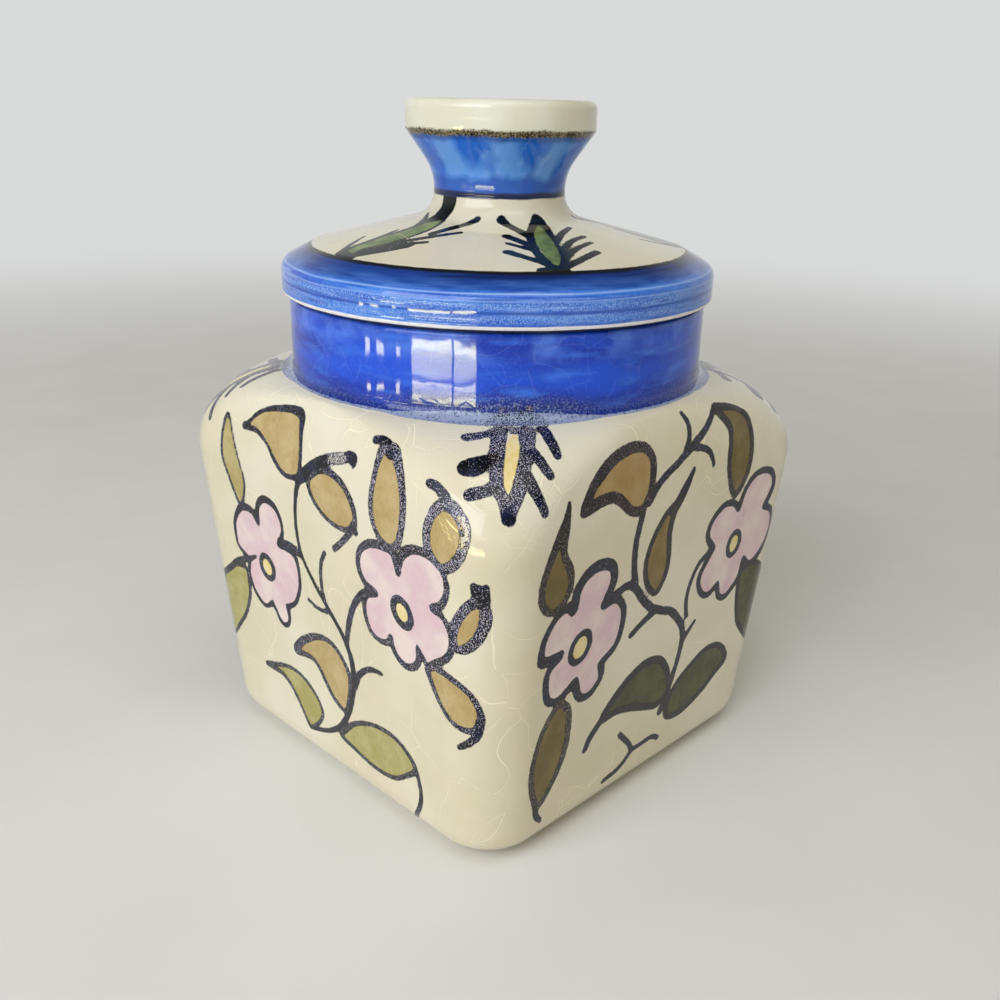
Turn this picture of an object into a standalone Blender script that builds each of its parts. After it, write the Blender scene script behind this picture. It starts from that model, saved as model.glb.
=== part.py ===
"""Lidded earthenware jar: a square glazed body with a round neck, and a lid that drops into it.

Metres, +Z up. The origin is on the jar's axis, on the surface that the jar stands on, and the
four faces of the body look along +X, -X, +Y and -Y. The body is one cast shell. The lid is a
turned cover with a plug ring below and a flared knob, which was formed alone and stuck on with slip.
"""
from math import cos, pi, radians, sin, tan

import bmesh
import bpy

# Clay wall, and the fits between the pieces
WALL = 0.005
TOUCH_GAP = 0.0003
PLUG_CLEARANCE = 0.001

# Body, from the foot up to the shoulder
FOOT_HALF_WIDTH = 0.0570
BODY_HALF_WIDTH = 0.0623
CORNER_RADIUS = 0.0150
INNER_FLOOR_RADIUS = 0.0055
FOOT_RING_WIDTH = 0.0055
FOOT_RECESS = 0.0020
FOOT_CORNER_RADIUS = 0.0140
SHOULDER_START = 0.0850
SHOULDER_RISE = 0.0233
SHOULDER_SWEEP = radians(75)

# Neck
NECK_RADIUS = 0.0542
NECK_HEIGHT = 0.0192
NECK_FOOT_FILLET = 0.0030
NECK_LIP_BEVEL = 0.0012

# Lid cover, heights from the underside of its rim
RIM_OVERHANG = 0.0018
RIM_HEIGHT = 0.0092
RIM_TOP_RADIUS = 0.0030
RIM_TOP_SWEEP = radians(60)
RIM_BOTTOM_RADIUS = 0.0016
DOME_RADIUS = 0.0485
DOME_EDGE_HEIGHT = 0.0121
DOME_SLOPE = radians(14.2)
WAIST_RADIUS = 0.0168
WAIST_FILLET = 0.0068
PLUG_DEPTH = 0.0100
PLUG_WALL = 0.0040
PLUG_EDGE = 0.0010

# Knob, heights from its foot
KNOB_RADIUS = 0.0241
KNOB_FLARE_RADIUS = 0.0130
KNOB_FLARE_ANGLE = radians(36)
KNOB_BAND_HEIGHT = 0.0074
KNOB_EDGE_RADIUS = 0.0022
KNOB_DISH_DEPTH = 0.0015

# Edges that stand sharper than this are the lip's, and get its bevel
LIP_EDGE_ANGLE = radians(70)

# How finely the round stretches are stepped, and how close points are before they merge
CORNER_POINTS = 12
TURN_STEPS = 48
SHOULDER_STEPS = 7
ARC_STEPS = 4
MERGE_DISTANCE = 0.00001

# Sizes that follow from those above
BASE_EDGE_RADIUS = WALL + INNER_FLOOR_RADIUS
NECK_BORE_RADIUS = NECK_RADIUS - WALL
PLUG_RADIUS = NECK_BORE_RADIUS - PLUG_CLEARANCE
RIM_RADIUS = NECK_RADIUS + RIM_OVERHANG
NECK_TOP = SHOULDER_START + SHOULDER_RISE + NECK_HEIGHT
LID_SEAT = NECK_TOP + TOUCH_GAP


def clear_scene():
    for thing in list(bpy.data.objects):
        bpy.data.objects.remove(thing)


def glaze(name, colour, roughness):
    material = bpy.data.materials.new(name)
    material.use_nodes = True
    shader = material.node_tree.nodes["Principled BSDF"]
    shader.inputs["Base Color"].default_value = (*colour, 1.0)
    shader.inputs["Roughness"].default_value = roughness
    shader.inputs["Metallic"].default_value = 0.0
    material.diffuse_color = (*colour, 1.0)
    return material


def arc(centre_x, centre_z, radius, start, end, steps=ARC_STEPS):
    """Points of an arc in the X-Z plane, from the angle start to the angle end."""
    angles = [start + (end - start) * step / steps for step in range(steps + 1)]
    return [(centre_x + radius * cos(a), centre_z + radius * sin(a)) for a in angles]


def rounded_square(half_width, radius, height):
    """A square outline with round corners; it is a circle where radius equals half_width."""
    points = []
    reach = half_width - radius
    for quarter in range(4):
        middle = pi / 4 + quarter * pi / 2
        corner_x = reach * (1 if cos(middle) > 0 else -1)
        corner_y = reach * (1 if sin(middle) > 0 else -1)
        for point in range(CORNER_POINTS):
            angle = middle + ((point + 0.5) / CORNER_POINTS - 0.5) * pi / 2
            x = corner_x + radius * cos(angle)
            y = corner_y + radius * sin(angle)
            points.append((x, y, height))
    return points


def foot_sections():
    """Foot ring and rounded base edge: each section is inset evenly from the side wall."""
    ring_inset = BASE_EDGE_RADIUS + FOOT_RING_WIDTH
    insets = [(ring_inset + FOOT_RECESS, FOOT_RECESS), (ring_inset, 0.0)]
    insets += arc(BASE_EDGE_RADIUS, BASE_EDGE_RADIUS, BASE_EDGE_RADIUS, -pi / 2, -pi)
    outlines = []
    for inset, height in insets:
        corner = max(CORNER_RADIUS - inset, FOOT_CORNER_RADIUS)
        outlines.append((FOOT_HALF_WIDTH - inset, corner, height))
    return outlines


def shoulder_sections():
    """A quarter ellipse up from the side wall, along which the square turns into the round neck."""
    foot_radius = NECK_RADIUS + NECK_FOOT_FILLET
    last = cos(SHOULDER_SWEEP)
    outlines = []
    for step in range(SHOULDER_STEPS + 1):
        angle = SHOULDER_SWEEP * step / SHOULDER_STEPS
        squareness = (cos(angle) - last) / (1 - last)
        half_width = foot_radius + (BODY_HALF_WIDTH - foot_radius) * squareness
        corner = foot_radius + (CORNER_RADIUS - foot_radius) * squareness
        outlines.append((half_width, corner, SHOULDER_START + SHOULDER_RISE * sin(angle)))
    return outlines


def neck_sections(shoulder_top):
    """A hollow fillet out of the shoulder, and the straight neck."""
    centre = NECK_RADIUS + NECK_FOOT_FILLET
    fillet = arc(centre, shoulder_top + NECK_FOOT_FILLET, NECK_FOOT_FILLET, -pi / 2, -pi)
    outlines = [(radius, radius, height) for radius, height in fillet[1:]]
    outlines.append((NECK_RADIUS, NECK_RADIUS, NECK_TOP))
    return outlines


def make_jar_body(collection):
    """The outer skin is lofted from the foot to the mouth, and Solidify gives it the clay wall."""
    shoulder = shoulder_sections()
    outlines = foot_sections() + shoulder + neck_sections(shoulder[-1][2])
    bm = bmesh.new()
    rings = [[bm.verts.new(point) for point in rounded_square(*outline)] for outline in outlines]
    for low, high in zip(rings, rings[1:]):
        for here in range(len(low)):
            after = (here + 1) % len(low)
            bm.faces.new((low[here], low[after], high[after], high[here]))
    bm.faces.new(list(reversed(rings[0])))
    mesh = bpy.data.meshes.new("jar_body")
    bm.to_mesh(mesh)
    bm.free()
    mesh.shade_smooth()
    body = bpy.data.objects.new("jar_body", mesh)
    collection.objects.link(body)
    shell = body.modifiers.new("clay wall", "SOLIDIFY")
    shell.thickness = WALL
    shell.offset = -1
    shell.use_even_offset = True
    lip = body.modifiers.new("lip", "BEVEL")
    lip.width = NECK_LIP_BEVEL
    lip.segments = 2
    lip.limit_method = "ANGLE"
    lip.angle_limit = LIP_EDGE_ANGLE
    body.data.materials.append(glaze("cream_glaze", (0.76, 0.70, 0.52), 0.15))
    return body


def turned(name, profile, collection, material):
    """A piece turned about its own Z axis from a profile that starts and ends on that axis."""
    bm = bmesh.new()
    verts = [bm.verts.new((x, 0.0, z)) for x, z in profile]
    for first, second in zip(verts, verts[1:]):
        bm.edges.new((first, second))
    mesh = bpy.data.meshes.new(name)
    bm.to_mesh(mesh)
    bm.free()
    piece = bpy.data.objects.new(name, mesh)
    collection.objects.link(piece)
    turn = piece.modifiers.new("turn", "SCREW")
    turn.axis = "Z"
    turn.angle = 2 * pi
    turn.steps = TURN_STEPS
    turn.render_steps = TURN_STEPS
    turn.use_merge_vertices = True
    turn.merge_threshold = MERGE_DISTANCE
    turn.use_smooth_shade = True
    piece.data.materials.append(material)
    return piece


def dome_height(radius):
    """Height of the dome's straight slope over the underside of the rim."""
    return DOME_EDGE_HEIGHT + (DOME_RADIUS - radius) * tan(DOME_SLOPE)


def waist_height():
    """Height at which the dome's hollow fillet runs upright into the knob's foot."""
    tangent_radius = WAIST_RADIUS + WAIST_FILLET * (1 - sin(DOME_SLOPE))
    return dome_height(tangent_radius) + WAIST_FILLET * cos(DOME_SLOPE)


def cover_profile():
    """From the knob's seat down the dome and the rim, round the plug ring and up inside."""
    top = waist_height()
    profile = [(0.0, top)]
    profile += arc(WAIST_RADIUS + WAIST_FILLET, top, WAIST_FILLET, pi, 3 * pi / 2 - DOME_SLOPE)
    profile.append((DOME_RADIUS, DOME_EDGE_HEIGHT))
    rim_top = RIM_HEIGHT - RIM_TOP_RADIUS
    profile += arc(RIM_RADIUS - RIM_TOP_RADIUS, rim_top, RIM_TOP_RADIUS, RIM_TOP_SWEEP, 0)
    profile += arc(RIM_RADIUS - RIM_BOTTOM_RADIUS, RIM_BOTTOM_RADIUS, RIM_BOTTOM_RADIUS, 0, -pi / 2)
    profile.append((PLUG_RADIUS, 0.0))
    profile += arc(PLUG_RADIUS - PLUG_EDGE, PLUG_EDGE - PLUG_DEPTH, PLUG_EDGE, 0, -pi / 2, 2)
    plug_bore = PLUG_RADIUS - PLUG_WALL
    profile += arc(plug_bore + PLUG_EDGE, PLUG_EDGE - PLUG_DEPTH, PLUG_EDGE, -pi / 2, -pi, 2)
    drop = WALL / cos(DOME_SLOPE)
    profile.append((plug_bore, dome_height(plug_bore) - drop))
    profile.append((WAIST_RADIUS, dome_height(WAIST_RADIUS) - drop))
    profile.append((0.0, dome_height(WAIST_RADIUS) - drop))
    return profile


def knob_profile():
    """From the dished top over the band's edge, down the band and the flare to the foot."""
    flare = arc(WAIST_RADIUS + KNOB_FLARE_RADIUS, 0.0, KNOB_FLARE_RADIUS, pi - KNOB_FLARE_ANGLE, pi)
    flare_radius, flare_height = flare[0]
    band_foot = flare_height + (KNOB_RADIUS - flare_radius) / tan(KNOB_FLARE_ANGLE)
    top = band_foot + KNOB_BAND_HEIGHT
    edge_centre = KNOB_RADIUS - KNOB_EDGE_RADIUS
    dish_radius = edge_centre - KNOB_EDGE_RADIUS
    profile = []
    for step in range(ARC_STEPS + 1):
        share = step / ARC_STEPS
        profile.append((dish_radius * share, top - KNOB_DISH_DEPTH * (1 - share ** 2)))
    profile += arc(edge_centre, top - KNOB_EDGE_RADIUS, KNOB_EDGE_RADIUS, pi / 2, 0)
    profile.append((KNOB_RADIUS, band_foot))
    profile += flare
    profile.append((0.0, 0.0))
    return profile


def make_lid(collection):
    """Both pieces of the lid hang on an empty at the seat, on the axis along which it lifts."""
    lid = bpy.data.objects.new("lid_lift_axis", None)
    lid.location = (0.0, 0.0, LID_SEAT)
    collection.objects.link(lid)
    cover_glaze = glaze("lid_glaze", (0.74, 0.69, 0.53), 0.15)
    cover = turned("lid_cover", cover_profile(), collection, cover_glaze)
    knob_glaze = glaze("knob_blue_glaze", (0.07, 0.15, 0.52), 0.12)
    knob = turned("lid_knob", knob_profile(), collection, knob_glaze)
    knob.location = (0.0, 0.0, waist_height() + TOUCH_GAP)
    for piece in (cover, knob):
        piece.parent = lid


def main():
    clear_scene()
    collection = bpy.data.collections.new("lidded_jar")
    bpy.context.scene.collection.children.link(collection)
    make_jar_body(collection)
    make_lid(collection)


main()
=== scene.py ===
# %% [markdown]
# A square jar of glazed earthenware with a round neck, a lid and a flared knob.
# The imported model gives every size. It is loaded first, and nothing in it is moved.
# The dressed pieces are finer copies of its three solids, with the painting laid on them.

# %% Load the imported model
from math import cos, pi, radians, sin, tan

import bmesh
import bpy
import numpy as np
from mathutils import Matrix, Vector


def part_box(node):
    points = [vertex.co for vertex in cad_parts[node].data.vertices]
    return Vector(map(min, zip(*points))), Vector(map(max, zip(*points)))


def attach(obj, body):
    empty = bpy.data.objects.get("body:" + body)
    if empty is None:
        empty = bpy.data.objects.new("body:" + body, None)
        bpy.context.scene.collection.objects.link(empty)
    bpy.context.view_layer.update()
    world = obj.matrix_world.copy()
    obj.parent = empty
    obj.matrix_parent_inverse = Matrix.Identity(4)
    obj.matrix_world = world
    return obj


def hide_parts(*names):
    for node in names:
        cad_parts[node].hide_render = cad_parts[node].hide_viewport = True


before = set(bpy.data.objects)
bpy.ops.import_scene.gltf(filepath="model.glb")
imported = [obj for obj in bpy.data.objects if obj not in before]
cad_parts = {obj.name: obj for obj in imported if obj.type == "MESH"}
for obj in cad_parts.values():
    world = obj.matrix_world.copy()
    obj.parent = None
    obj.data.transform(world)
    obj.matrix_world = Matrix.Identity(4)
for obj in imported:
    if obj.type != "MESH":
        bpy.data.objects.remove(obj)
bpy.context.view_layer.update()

# %% [markdown]
# Everything below is thought out in millimetres, as a potter would, and Blender works in metres.
# So one value, MM, turns one into the other, and the main sizes are read off the CAD boxes.

# %% Sizes of the three solids
MM = 0.001


def box_mm(node):
    """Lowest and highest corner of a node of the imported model, in mm."""
    low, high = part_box(node)
    return np.array(low) / MM, np.array(high) / MM


body_high = box_mm("jar_body")[1]
cover_low, cover_high = box_mm("lid_cover")
knob_low, knob_high = box_mm("lid_knob")
BODY_HALF = body_high[0]
NECK_TOP = body_high[2]
RIM_RADIUS = cover_high[0]
KNOB_RADIUS = knob_high[0]
KNOB_TOP = knob_high[2]
print("body half", round(BODY_HALF, 2), "neck top", round(NECK_TOP, 2), "knob top", round(KNOB_TOP, 2))

# %% [markdown]
# The camera stands as it stood for the photograph, a hand's breadth over the lid and close by.
# Its place was found by fitting the rims and edges, so the lens, tilt and roll are real numbers.

# %% Camera
CAMERA_DISTANCE = 0.2796
CAMERA_HEIGHT = 0.17513
CAMERA_BEARING = radians(44.82)
CAMERA_YAW = 0.0071
CAMERA_PITCH = 0.366
CAMERA_ROLL = 0.0233
FOCAL_PIXELS = 1047.1
PICTURE_PIXELS = 1000

lens = bpy.data.cameras.new("photo_camera")
lens.sensor_width = 36.0
lens.lens = FOCAL_PIXELS / PICTURE_PIXELS * lens.sensor_width
lens.clip_start = 0.01
lens.dof.use_dof = False
camera = bpy.data.objects.new("photo_camera", lens)
bpy.context.scene.collection.objects.link(camera)
turn = Matrix.Rotation(CAMERA_BEARING, 4, "Z")
stand = Matrix.Translation((0.0, -CAMERA_DISTANCE, CAMERA_HEIGHT))
aim = Matrix.Rotation(-CAMERA_YAW, 4, "Z") @ Matrix.Rotation(pi / 2 - CAMERA_PITCH, 4, "X")
camera.matrix_world = turn @ stand @ aim @ Matrix.Rotation(CAMERA_ROLL, 4, "Z")
bpy.context.scene.camera = camera
bpy.context.scene.view_settings.view_transform = "Standard"
print("camera at", [round(value, 4) for value in camera.matrix_world.translation])

# %% [markdown]
# The jar's outside is a stack of rounded squares that grow rounder up the shoulder until they
# are circles at the neck. Each outline needs only three numbers: half its width, the radius of
# its corners and its height.

# %% The stack of outlines, in mm: half width, corner radius, height
WALL = 5.0
FOOT_HALF = 57.0
CORNER = 15.0
FOOT_CORNER = 14.0
BASE_EDGE = 10.5
FOOT_RING = 5.5
FOOT_RECESS = 2.0
SHOULDER_START = 85.0
SHOULDER_RISE = 23.3
SHOULDER_SWEEP = radians(75)
NECK_RADIUS = 54.2
NECK_FILLET = 3.0
NECK_ROWS = (110.8, 113.0, 117.0, 121.0, 124.0, 126.0)
LIP_ROUND = 1.2
LIP_STEPS = 4


def arc(centre_across, centre_up, radius, start, end, steps):
    """Points along part of a circle, as (across, up), with the angles in radians."""
    turns = [start + (end - start) * step / steps for step in range(steps + 1)]
    return [(centre_across + radius * cos(t), centre_up + radius * sin(t)) for t in turns]


def base_outlines():
    """The rounded edge between the foot and the side."""
    return [
        (FOOT_HALF - inset, max(CORNER - inset, FOOT_CORNER), height)
        for inset, height in arc(BASE_EDGE, BASE_EDGE, BASE_EDGE, -pi / 2, -pi, 15)
    ]


def side_outlines(rows=84):
    """The side, which leans out a little from foot to shoulder."""
    outlines = []
    for step in range(1, rows + 1):
        share = step / rows
        half = FOOT_HALF + (BODY_HALF - FOOT_HALF) * share
        outlines.append((half, CORNER, BASE_EDGE + (SHOULDER_START - BASE_EDGE) * share))
    return outlines


def shoulder_outlines(rows=38):
    """The shoulder, from rounded square to circle along one swept arc."""
    foot = NECK_RADIUS + NECK_FILLET
    last = cos(SHOULDER_SWEEP)
    outlines = []
    for step in range(1, rows + 1):
        angle = SHOULDER_SWEEP * step / rows
        squareness = (cos(angle) - last) / (1 - last)
        half = foot + (BODY_HALF - foot) * squareness
        corner = foot + (CORNER - foot) * squareness
        outlines.append((half, corner, SHOULDER_START + SHOULDER_RISE * sin(angle)))
    return outlines


def neck_outlines(shoulder_top):
    """The neck: its fillet, its plain side and its lip, which is rounded both ways."""
    fillet = arc(NECK_RADIUS + NECK_FILLET, shoulder_top + NECK_FILLET, NECK_FILLET, -pi / 2, -pi, 5)
    lip = arc(NECK_RADIUS - LIP_ROUND, NECK_TOP - LIP_ROUND, LIP_ROUND, 0, pi / 2, LIP_STEPS)
    bore = NECK_RADIUS - WALL
    inner_lip = arc(bore + LIP_ROUND, NECK_TOP - LIP_ROUND, LIP_ROUND, pi / 2, pi, LIP_STEPS)
    plain = [(NECK_RADIUS, height) for height in NECK_ROWS]
    return [(radius, radius, height) for radius, height in fillet[1:] + plain + lip + inner_lip]


outside = base_outlines() + side_outlines() + shoulder_outlines()
neck = neck_outlines(outside[-1][2])
print("outlines of the outside", len(outside), "and of the neck", len(neck))

# %% [markdown]
# The clay is 5 mm thick, so the inside is the same stack set inward. It thins a little over
# the shoulder, where slip runs off the mould. Under the floor the foot ring stands alone, so
# the jar doesn't rock. Painting reaches from the foot's edge to a few rows up the neck.

# %% Hollow, foot ring and the whole stack
INNER_CORNER = 9.0
SHOULDER_CLAY = 4.0
SHOULDER_THINS = 0.6
MID_WALL_HEIGHT, MID_WALL_SPREAD = 45.0, 2.2
FLOOR_MIDDLE = (3.0, 2.9)
PAINTED_NECK_ROWS = 8


def inside_outlines():
    """Outlines of the hollow, from the neck's bore down to the middle of the inner floor."""
    bore = NECK_RADIUS - WALL
    outlines = [(bore, bore, SHOULDER_START + SHOULDER_RISE - SHOULDER_CLAY)]
    outer = [(BODY_HALF, CORNER, SHOULDER_START)] + shoulder_outlines(12)
    for half, corner, height in reversed(outer[:-2]):
        lean = (height - SHOULDER_START) / SHOULDER_RISE
        inset = WALL * (1 - SHOULDER_THINS * lean)
        outlines.append((half - inset, max(corner - WALL, INNER_CORNER), height - SHOULDER_CLAY * lean))
    outlines.append((FOOT_HALF - WALL + MID_WALL_SPREAD, CORNER - WALL, MID_WALL_HEIGHT))
    floor_edge = BASE_EDGE - WALL
    for inset, height in reversed(arc(floor_edge, floor_edge, floor_edge, -pi / 2, -pi, 5)):
        outlines.append((FOOT_HALF - WALL - inset, FOOT_CORNER - WALL, height + WALL + FOOT_RECESS))
    outlines.append((*FLOOR_MIDDLE, WALL + FOOT_RECESS))
    return outlines


def underside_outlines():
    """The recessed floor and the foot ring, whose inner edge is rounded by a few tenths."""
    ring_inner = FOOT_HALF - BASE_EDGE - FOOT_RING
    recess = ring_inner - FOOT_RECESS
    return [
        (*FLOOR_MIDDLE, FOOT_RECESS),
        (recess, FOOT_CORNER, FOOT_RECESS),
        (recess + 0.7, FOOT_CORNER, FOOT_RECESS - 0.4),
        (ring_inner - 0.5, FOOT_CORNER, 0.35),
        (ring_inner + 0.4, FOOT_CORNER, 0.0),
    ]


underside = underside_outlines()
stack = np.array(underside + outside + neck + inside_outlines())
FIRST_PAINTED = len(underside)
NECK_FOOT = FIRST_PAINTED + len(outside) - 1
LAST_PAINTED = NECK_FOOT + PAINTED_NECK_ROWS
FIRST_INSIDE = FIRST_PAINTED + len(outside) + len(neck) - (LIP_STEPS + 1)
print("outlines", len(stack), "of which painted", LAST_PAINTED - FIRST_PAINTED)

# %% [markdown]
# The mesh is a ring of edges that is extruded once for each outline. Every point remembers its
# column and its row in two integer layers, which extruding copies and the loop counts up.
# The columns stand at fixed directions round the axis, close enough to carry the painting.

# %% The body's mesh: a ring, extruded row by row
FLAT_COLUMNS = 104
CORNER_COLUMNS = 26


def column_directions():
    """Directions round the axis, spaced evenly along the widest outline."""
    reach = BODY_HALF - CORNER
    directions = []
    for quarter in range(4):
        start = quarter * pi / 2
        for step in range(FLAT_COLUMNS):
            along = reach * (2 * (step + 0.5) / FLAT_COLUMNS - 1)
            directions.append(start + np.arctan2(along, BODY_HALF))
        for step in range(CORNER_COLUMNS):
            turned = (step + 0.5) / CORNER_COLUMNS * pi / 2
            across, along = reach + CORNER * cos(turned), reach + CORNER * sin(turned)
            directions.append(start + np.arctan2(along, across))
    return np.array(directions)


def extruded_rings(name, columns, rows):
    """A closed tube of rings, each an extrusion of the last, with column and row on its points."""
    bm = bmesh.new()
    column_layer = bm.verts.layers.int.new("column")
    row_layer = bm.verts.layers.int.new("row")
    ring = bmesh.ops.create_circle(bm, segments=columns, radius=1.0)["verts"]
    for place, vert in enumerate(ring):
        vert[column_layer] = place
    edges = bm.edges[:]
    first = list(ring)
    for row in range(1, rows):
        grown = bmesh.ops.extrude_edge_only(bm, edges=edges)["geom"]
        edges = [part for part in grown if isinstance(part, bmesh.types.BMEdge)]
        ring = [part for part in grown if isinstance(part, bmesh.types.BMVert)]
        for vert in ring:
            vert[row_layer] = row
    for closing in (first, ring):
        bmesh.ops.contextual_create(bm, geom=closing)
    mesh = bpy.data.meshes.new(name)
    bm.to_mesh(mesh)
    bm.free()
    return mesh


directions = column_directions()
body_mesh = extruded_rings("jar_body_painted", len(directions), len(stack))
print("columns", len(directions), "faces", len(body_mesh.polygons))

# %% [markdown]
# Each point then moves out along its direction until it meets its own outline. A rounded square
# has a flat stretch and a quarter circle, and one line of algebra gives the distance for each.

# %% Points on to their outlines
def outline_radius(direction, half, corner):
    """Distance from the axis to a rounded square, seen along a direction."""
    folded = direction - np.round(direction / (pi / 2)) * (pi / 2)
    reach = half - corner
    on_flat = half / np.cos(folded)
    slant = reach * (np.cos(folded) + np.abs(np.sin(folded)))
    on_corner = slant + np.sqrt(np.maximum(slant ** 2 - 2 * reach ** 2 + corner ** 2, 0.0))
    return np.where(np.abs(half * np.tan(folded)) <= reach, on_flat, on_corner)


half, corner, height = (stack[:, part][:, None] for part in range(3))
radius = outline_radius(directions[None, :], half, corner)
skin = np.stack([
    radius * np.cos(directions),
    radius * np.sin(directions),
    np.broadcast_to(height, radius.shape),
], axis=-1)


def layer_values(mesh, name):
    """The whole numbers of one layer, a value for each point."""
    values = np.empty(len(mesh.vertices), dtype=np.int32)
    mesh.attributes[name].data.foreach_get("value", values)
    return values


body_row = layer_values(body_mesh, "row")
body_column = layer_values(body_mesh, "column")
body_mesh.vertices.foreach_set("co", (skin[body_row, body_column] * MM).ravel())
for name in ("row", "column"):
    body_mesh.attributes.remove(body_mesh.attributes[name])
print("widest point", round(float(skin[..., 0].max()), 3), "of", round(float(BODY_HALF), 3))

# %% [markdown]
# A painter works on the flat face, so each point also gets a place on its face: how far along
# from the face's middle, and how far up over the clay from the foot's edge, both in mm.

# %% Places on the four faces and on the shoulder's corners
painted_rows = slice(FIRST_PAINTED, LAST_PAINTED)
steps_up = np.linalg.norm(np.diff(skin[painted_rows], axis=0), axis=-1)
climb = np.vstack([np.zeros(len(directions)), np.cumsum(steps_up, axis=0)])
collar = climb - climb[NECK_FOOT - FIRST_PAINTED]
painted_half = half[painted_rows]
painted_corner = corner[painted_rows]
painted_reach = painted_half - painted_corner


def along_face(face):
    """Signed length along the outline from the middle of one face, and where it is usable."""
    middle = face * pi / 2
    points = skin[painted_rows]
    out = points[..., 0] * cos(middle) + points[..., 1] * sin(middle)
    across = points[..., 1] * cos(middle) - points[..., 0] * sin(middle)
    turned = np.arctan2(np.abs(across) - painted_reach, np.maximum(out - painted_reach, 1e-9))
    rounded = painted_reach + painted_corner * np.clip(turned, 0.0, pi / 2)
    past = painted_reach + painted_corner * pi / 2 + painted_reach - out
    length = np.where(np.abs(across) <= painted_reach, np.abs(across),
                      np.where(out >= painted_reach, rounded, past))
    return length * np.sign(across), out > 0


print("the climb from foot to neck is", round(float(climb[-1].max()), 1), "mm at a corner")

# %% [markdown]
# The decoration is drawn with a loaded brush: dark outlines and stems, then thin washes inside.
# A stroke is a smooth line through a few given points, each with its brush width.
# For every point of the mesh the script keeps the distance to the nearest edge of each paint.
# The material turns that distance into a crisp edge, so a fine line needs no finer mesh.

# %% Strokes and their distances
OUTLINE = 2.2
STEM = 1.7
FAR = 9.0


def smooth_line(points, width=OUTLINE, closed=False, per_span=6):
    """A smooth curve through the points, as rows of (along, up, brush width)."""
    knots = np.array([point if len(point) == 3 else (*point, width) for point in points], float)
    if closed:
        before, after, last = np.roll(knots, 1, 0), np.roll(knots, -1, 0), np.roll(knots, -2, 0)
        starts = knots
    else:
        padded = np.vstack([2 * knots[0] - knots[1], knots, 2 * knots[-1] - knots[-2]])
        before, starts, after, last = padded[:-3], padded[1:-2], padded[2:-1], padded[3:]
    t = (np.arange(per_span) / per_span)[None, :, None]
    p0, p1, p2, p3 = (part[:, None, :] for part in (before, starts, after, last))
    line = 0.5 * (2 * p1 + (p2 - p0) * t + (2 * p0 - 5 * p1 + 4 * p2 - p3) * t ** 2
                  + (3 * p1 - p0 - 3 * p2 + p3) * t ** 3)
    line = line.reshape(-1, 3)
    return np.vstack([line, line[:1] if closed else knots[-1:]])


def distance_to(places, line):
    """Distance from each place to a line, and the brush width where it is nearest."""
    start, end = line[:-1], line[1:]
    span = end[:, :2] - start[:, :2]
    length2 = np.maximum((span ** 2).sum(1), 1e-9)
    offset = places[:, None, :] - start[None, :, :2]
    share = np.clip((offset * span).sum(2) / length2, 0.0, 1.0)
    gap = np.linalg.norm(offset - share[..., None] * span, axis=2)
    nearest = gap.argmin(1)
    pick = np.arange(len(places))
    part = share[pick, nearest]
    width = start[nearest, 2] * (1 - part) + end[nearest, 2] * part
    return gap[pick, nearest], width


def inside_of(places, line):
    """True where a place is inside a closed line."""
    x, y = places[:, 0][:, None], places[:, 1][:, None]
    x0, y0, x1, y1 = line[:-1, 0], line[:-1, 1], line[1:, 0], line[1:, 1]
    spans = (y0 > y) != (y1 > y)
    safe = np.where(np.abs(y1 - y0) < 1e-9, 1e-9, y1 - y0)
    crossing = x < (x1 - x0) * (y - y0) / safe + x0
    return (spans & crossing).sum(1) % 2 == 1


trial = smooth_line([(0, 0), (9, 3), (18, 0), (27, 3)])
print("a stroke through 4 points is drawn with", len(trial))

# %% [markdown]
# Six kinds of mark make up the whole painting. A stem is only a line. A leaf is a closed line
# with a wash in it. A flower is one closed line through the notches between its petals. A heart
# is a ring with yellow in it. A slit is left open in a solid shape and filled with a wash. And the
# last kind only changes the load: above zero it is where the paint ran dry, and below zero it is a
# painted highlight, a near-white glint of the glaze on a leaf's edge. The load of a mark says
# how full the brush was, from 1, solid dark, down to 0, so thin that what is under it shows.

# %% The kinds of mark
OCHRE, OLIVE, TAN, UMBER, MOSS = 0.0, 0.25, 0.5, 0.75, 1.0
LOAD = 0.6
HEART_POINTS = 12


def stem(points, width=STEM, load=LOAD):
    """A line of the brush, as points of (along, up) or (along, up, width) in mm."""
    return {"coat": None, "load": load, "line": smooth_line(points, width)}


def leaf(tone, points, width=OUTLINE, load=LOAD):
    """A closed outline round a wash; the tone picks the wash's colour."""
    line = smooth_line(points, width, closed=True)
    return {"coat": "leaf", "tone": tone, "load": load, "line": line}


def flower(petals, width=OUTLINE, load=LOAD):
    """Each petal is a list of points that starts at the notch before it."""
    lines = []
    for petal, following in zip(petals, petals[1:] + petals[:1]):
        lines.append(smooth_line(petal + following[:1], width)[:-1])
    return {"coat": "petal", "load": load, "line": np.vstack(lines + [lines[0][:1]])}


def heart(along, up, across, tall, lean=0.0, width=1.9, load=LOAD):
    """The ring in a flower's middle: half its width and height, and how far it leans in radians."""
    turned = np.linspace(0, 2 * pi, HEART_POINTS + 1)[:-1]
    x, y = across * np.cos(turned), tall * np.sin(turned)
    points = [(along + a * cos(lean) - b * sin(lean), up + a * sin(lean) + b * cos(lean))
              for a, b in zip(x, y)]
    return {"coat": "heart", "load": load, "line": smooth_line(points, width, closed=True)}


def slit(coat, points, tone=OCHRE):
    """An opening left in a solid shape, with a wash in it."""
    return {"coat": coat, "tone": tone, "carve": True, "line": smooth_line(points)}


def thin_paint_and_glint(points, width, load=-0.6, tone=OCHRE):
    """Sets the load under it: above zero, paint that ran dry; below zero, a near-white painted highlight.
    """
    return {"coat": "load", "load": load, "tone": tone, "line": smooth_line(points, width)}


print("a brush line is", OUTLINE, "mm wide round a leaf and", STEM, "mm in a stem")

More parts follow.
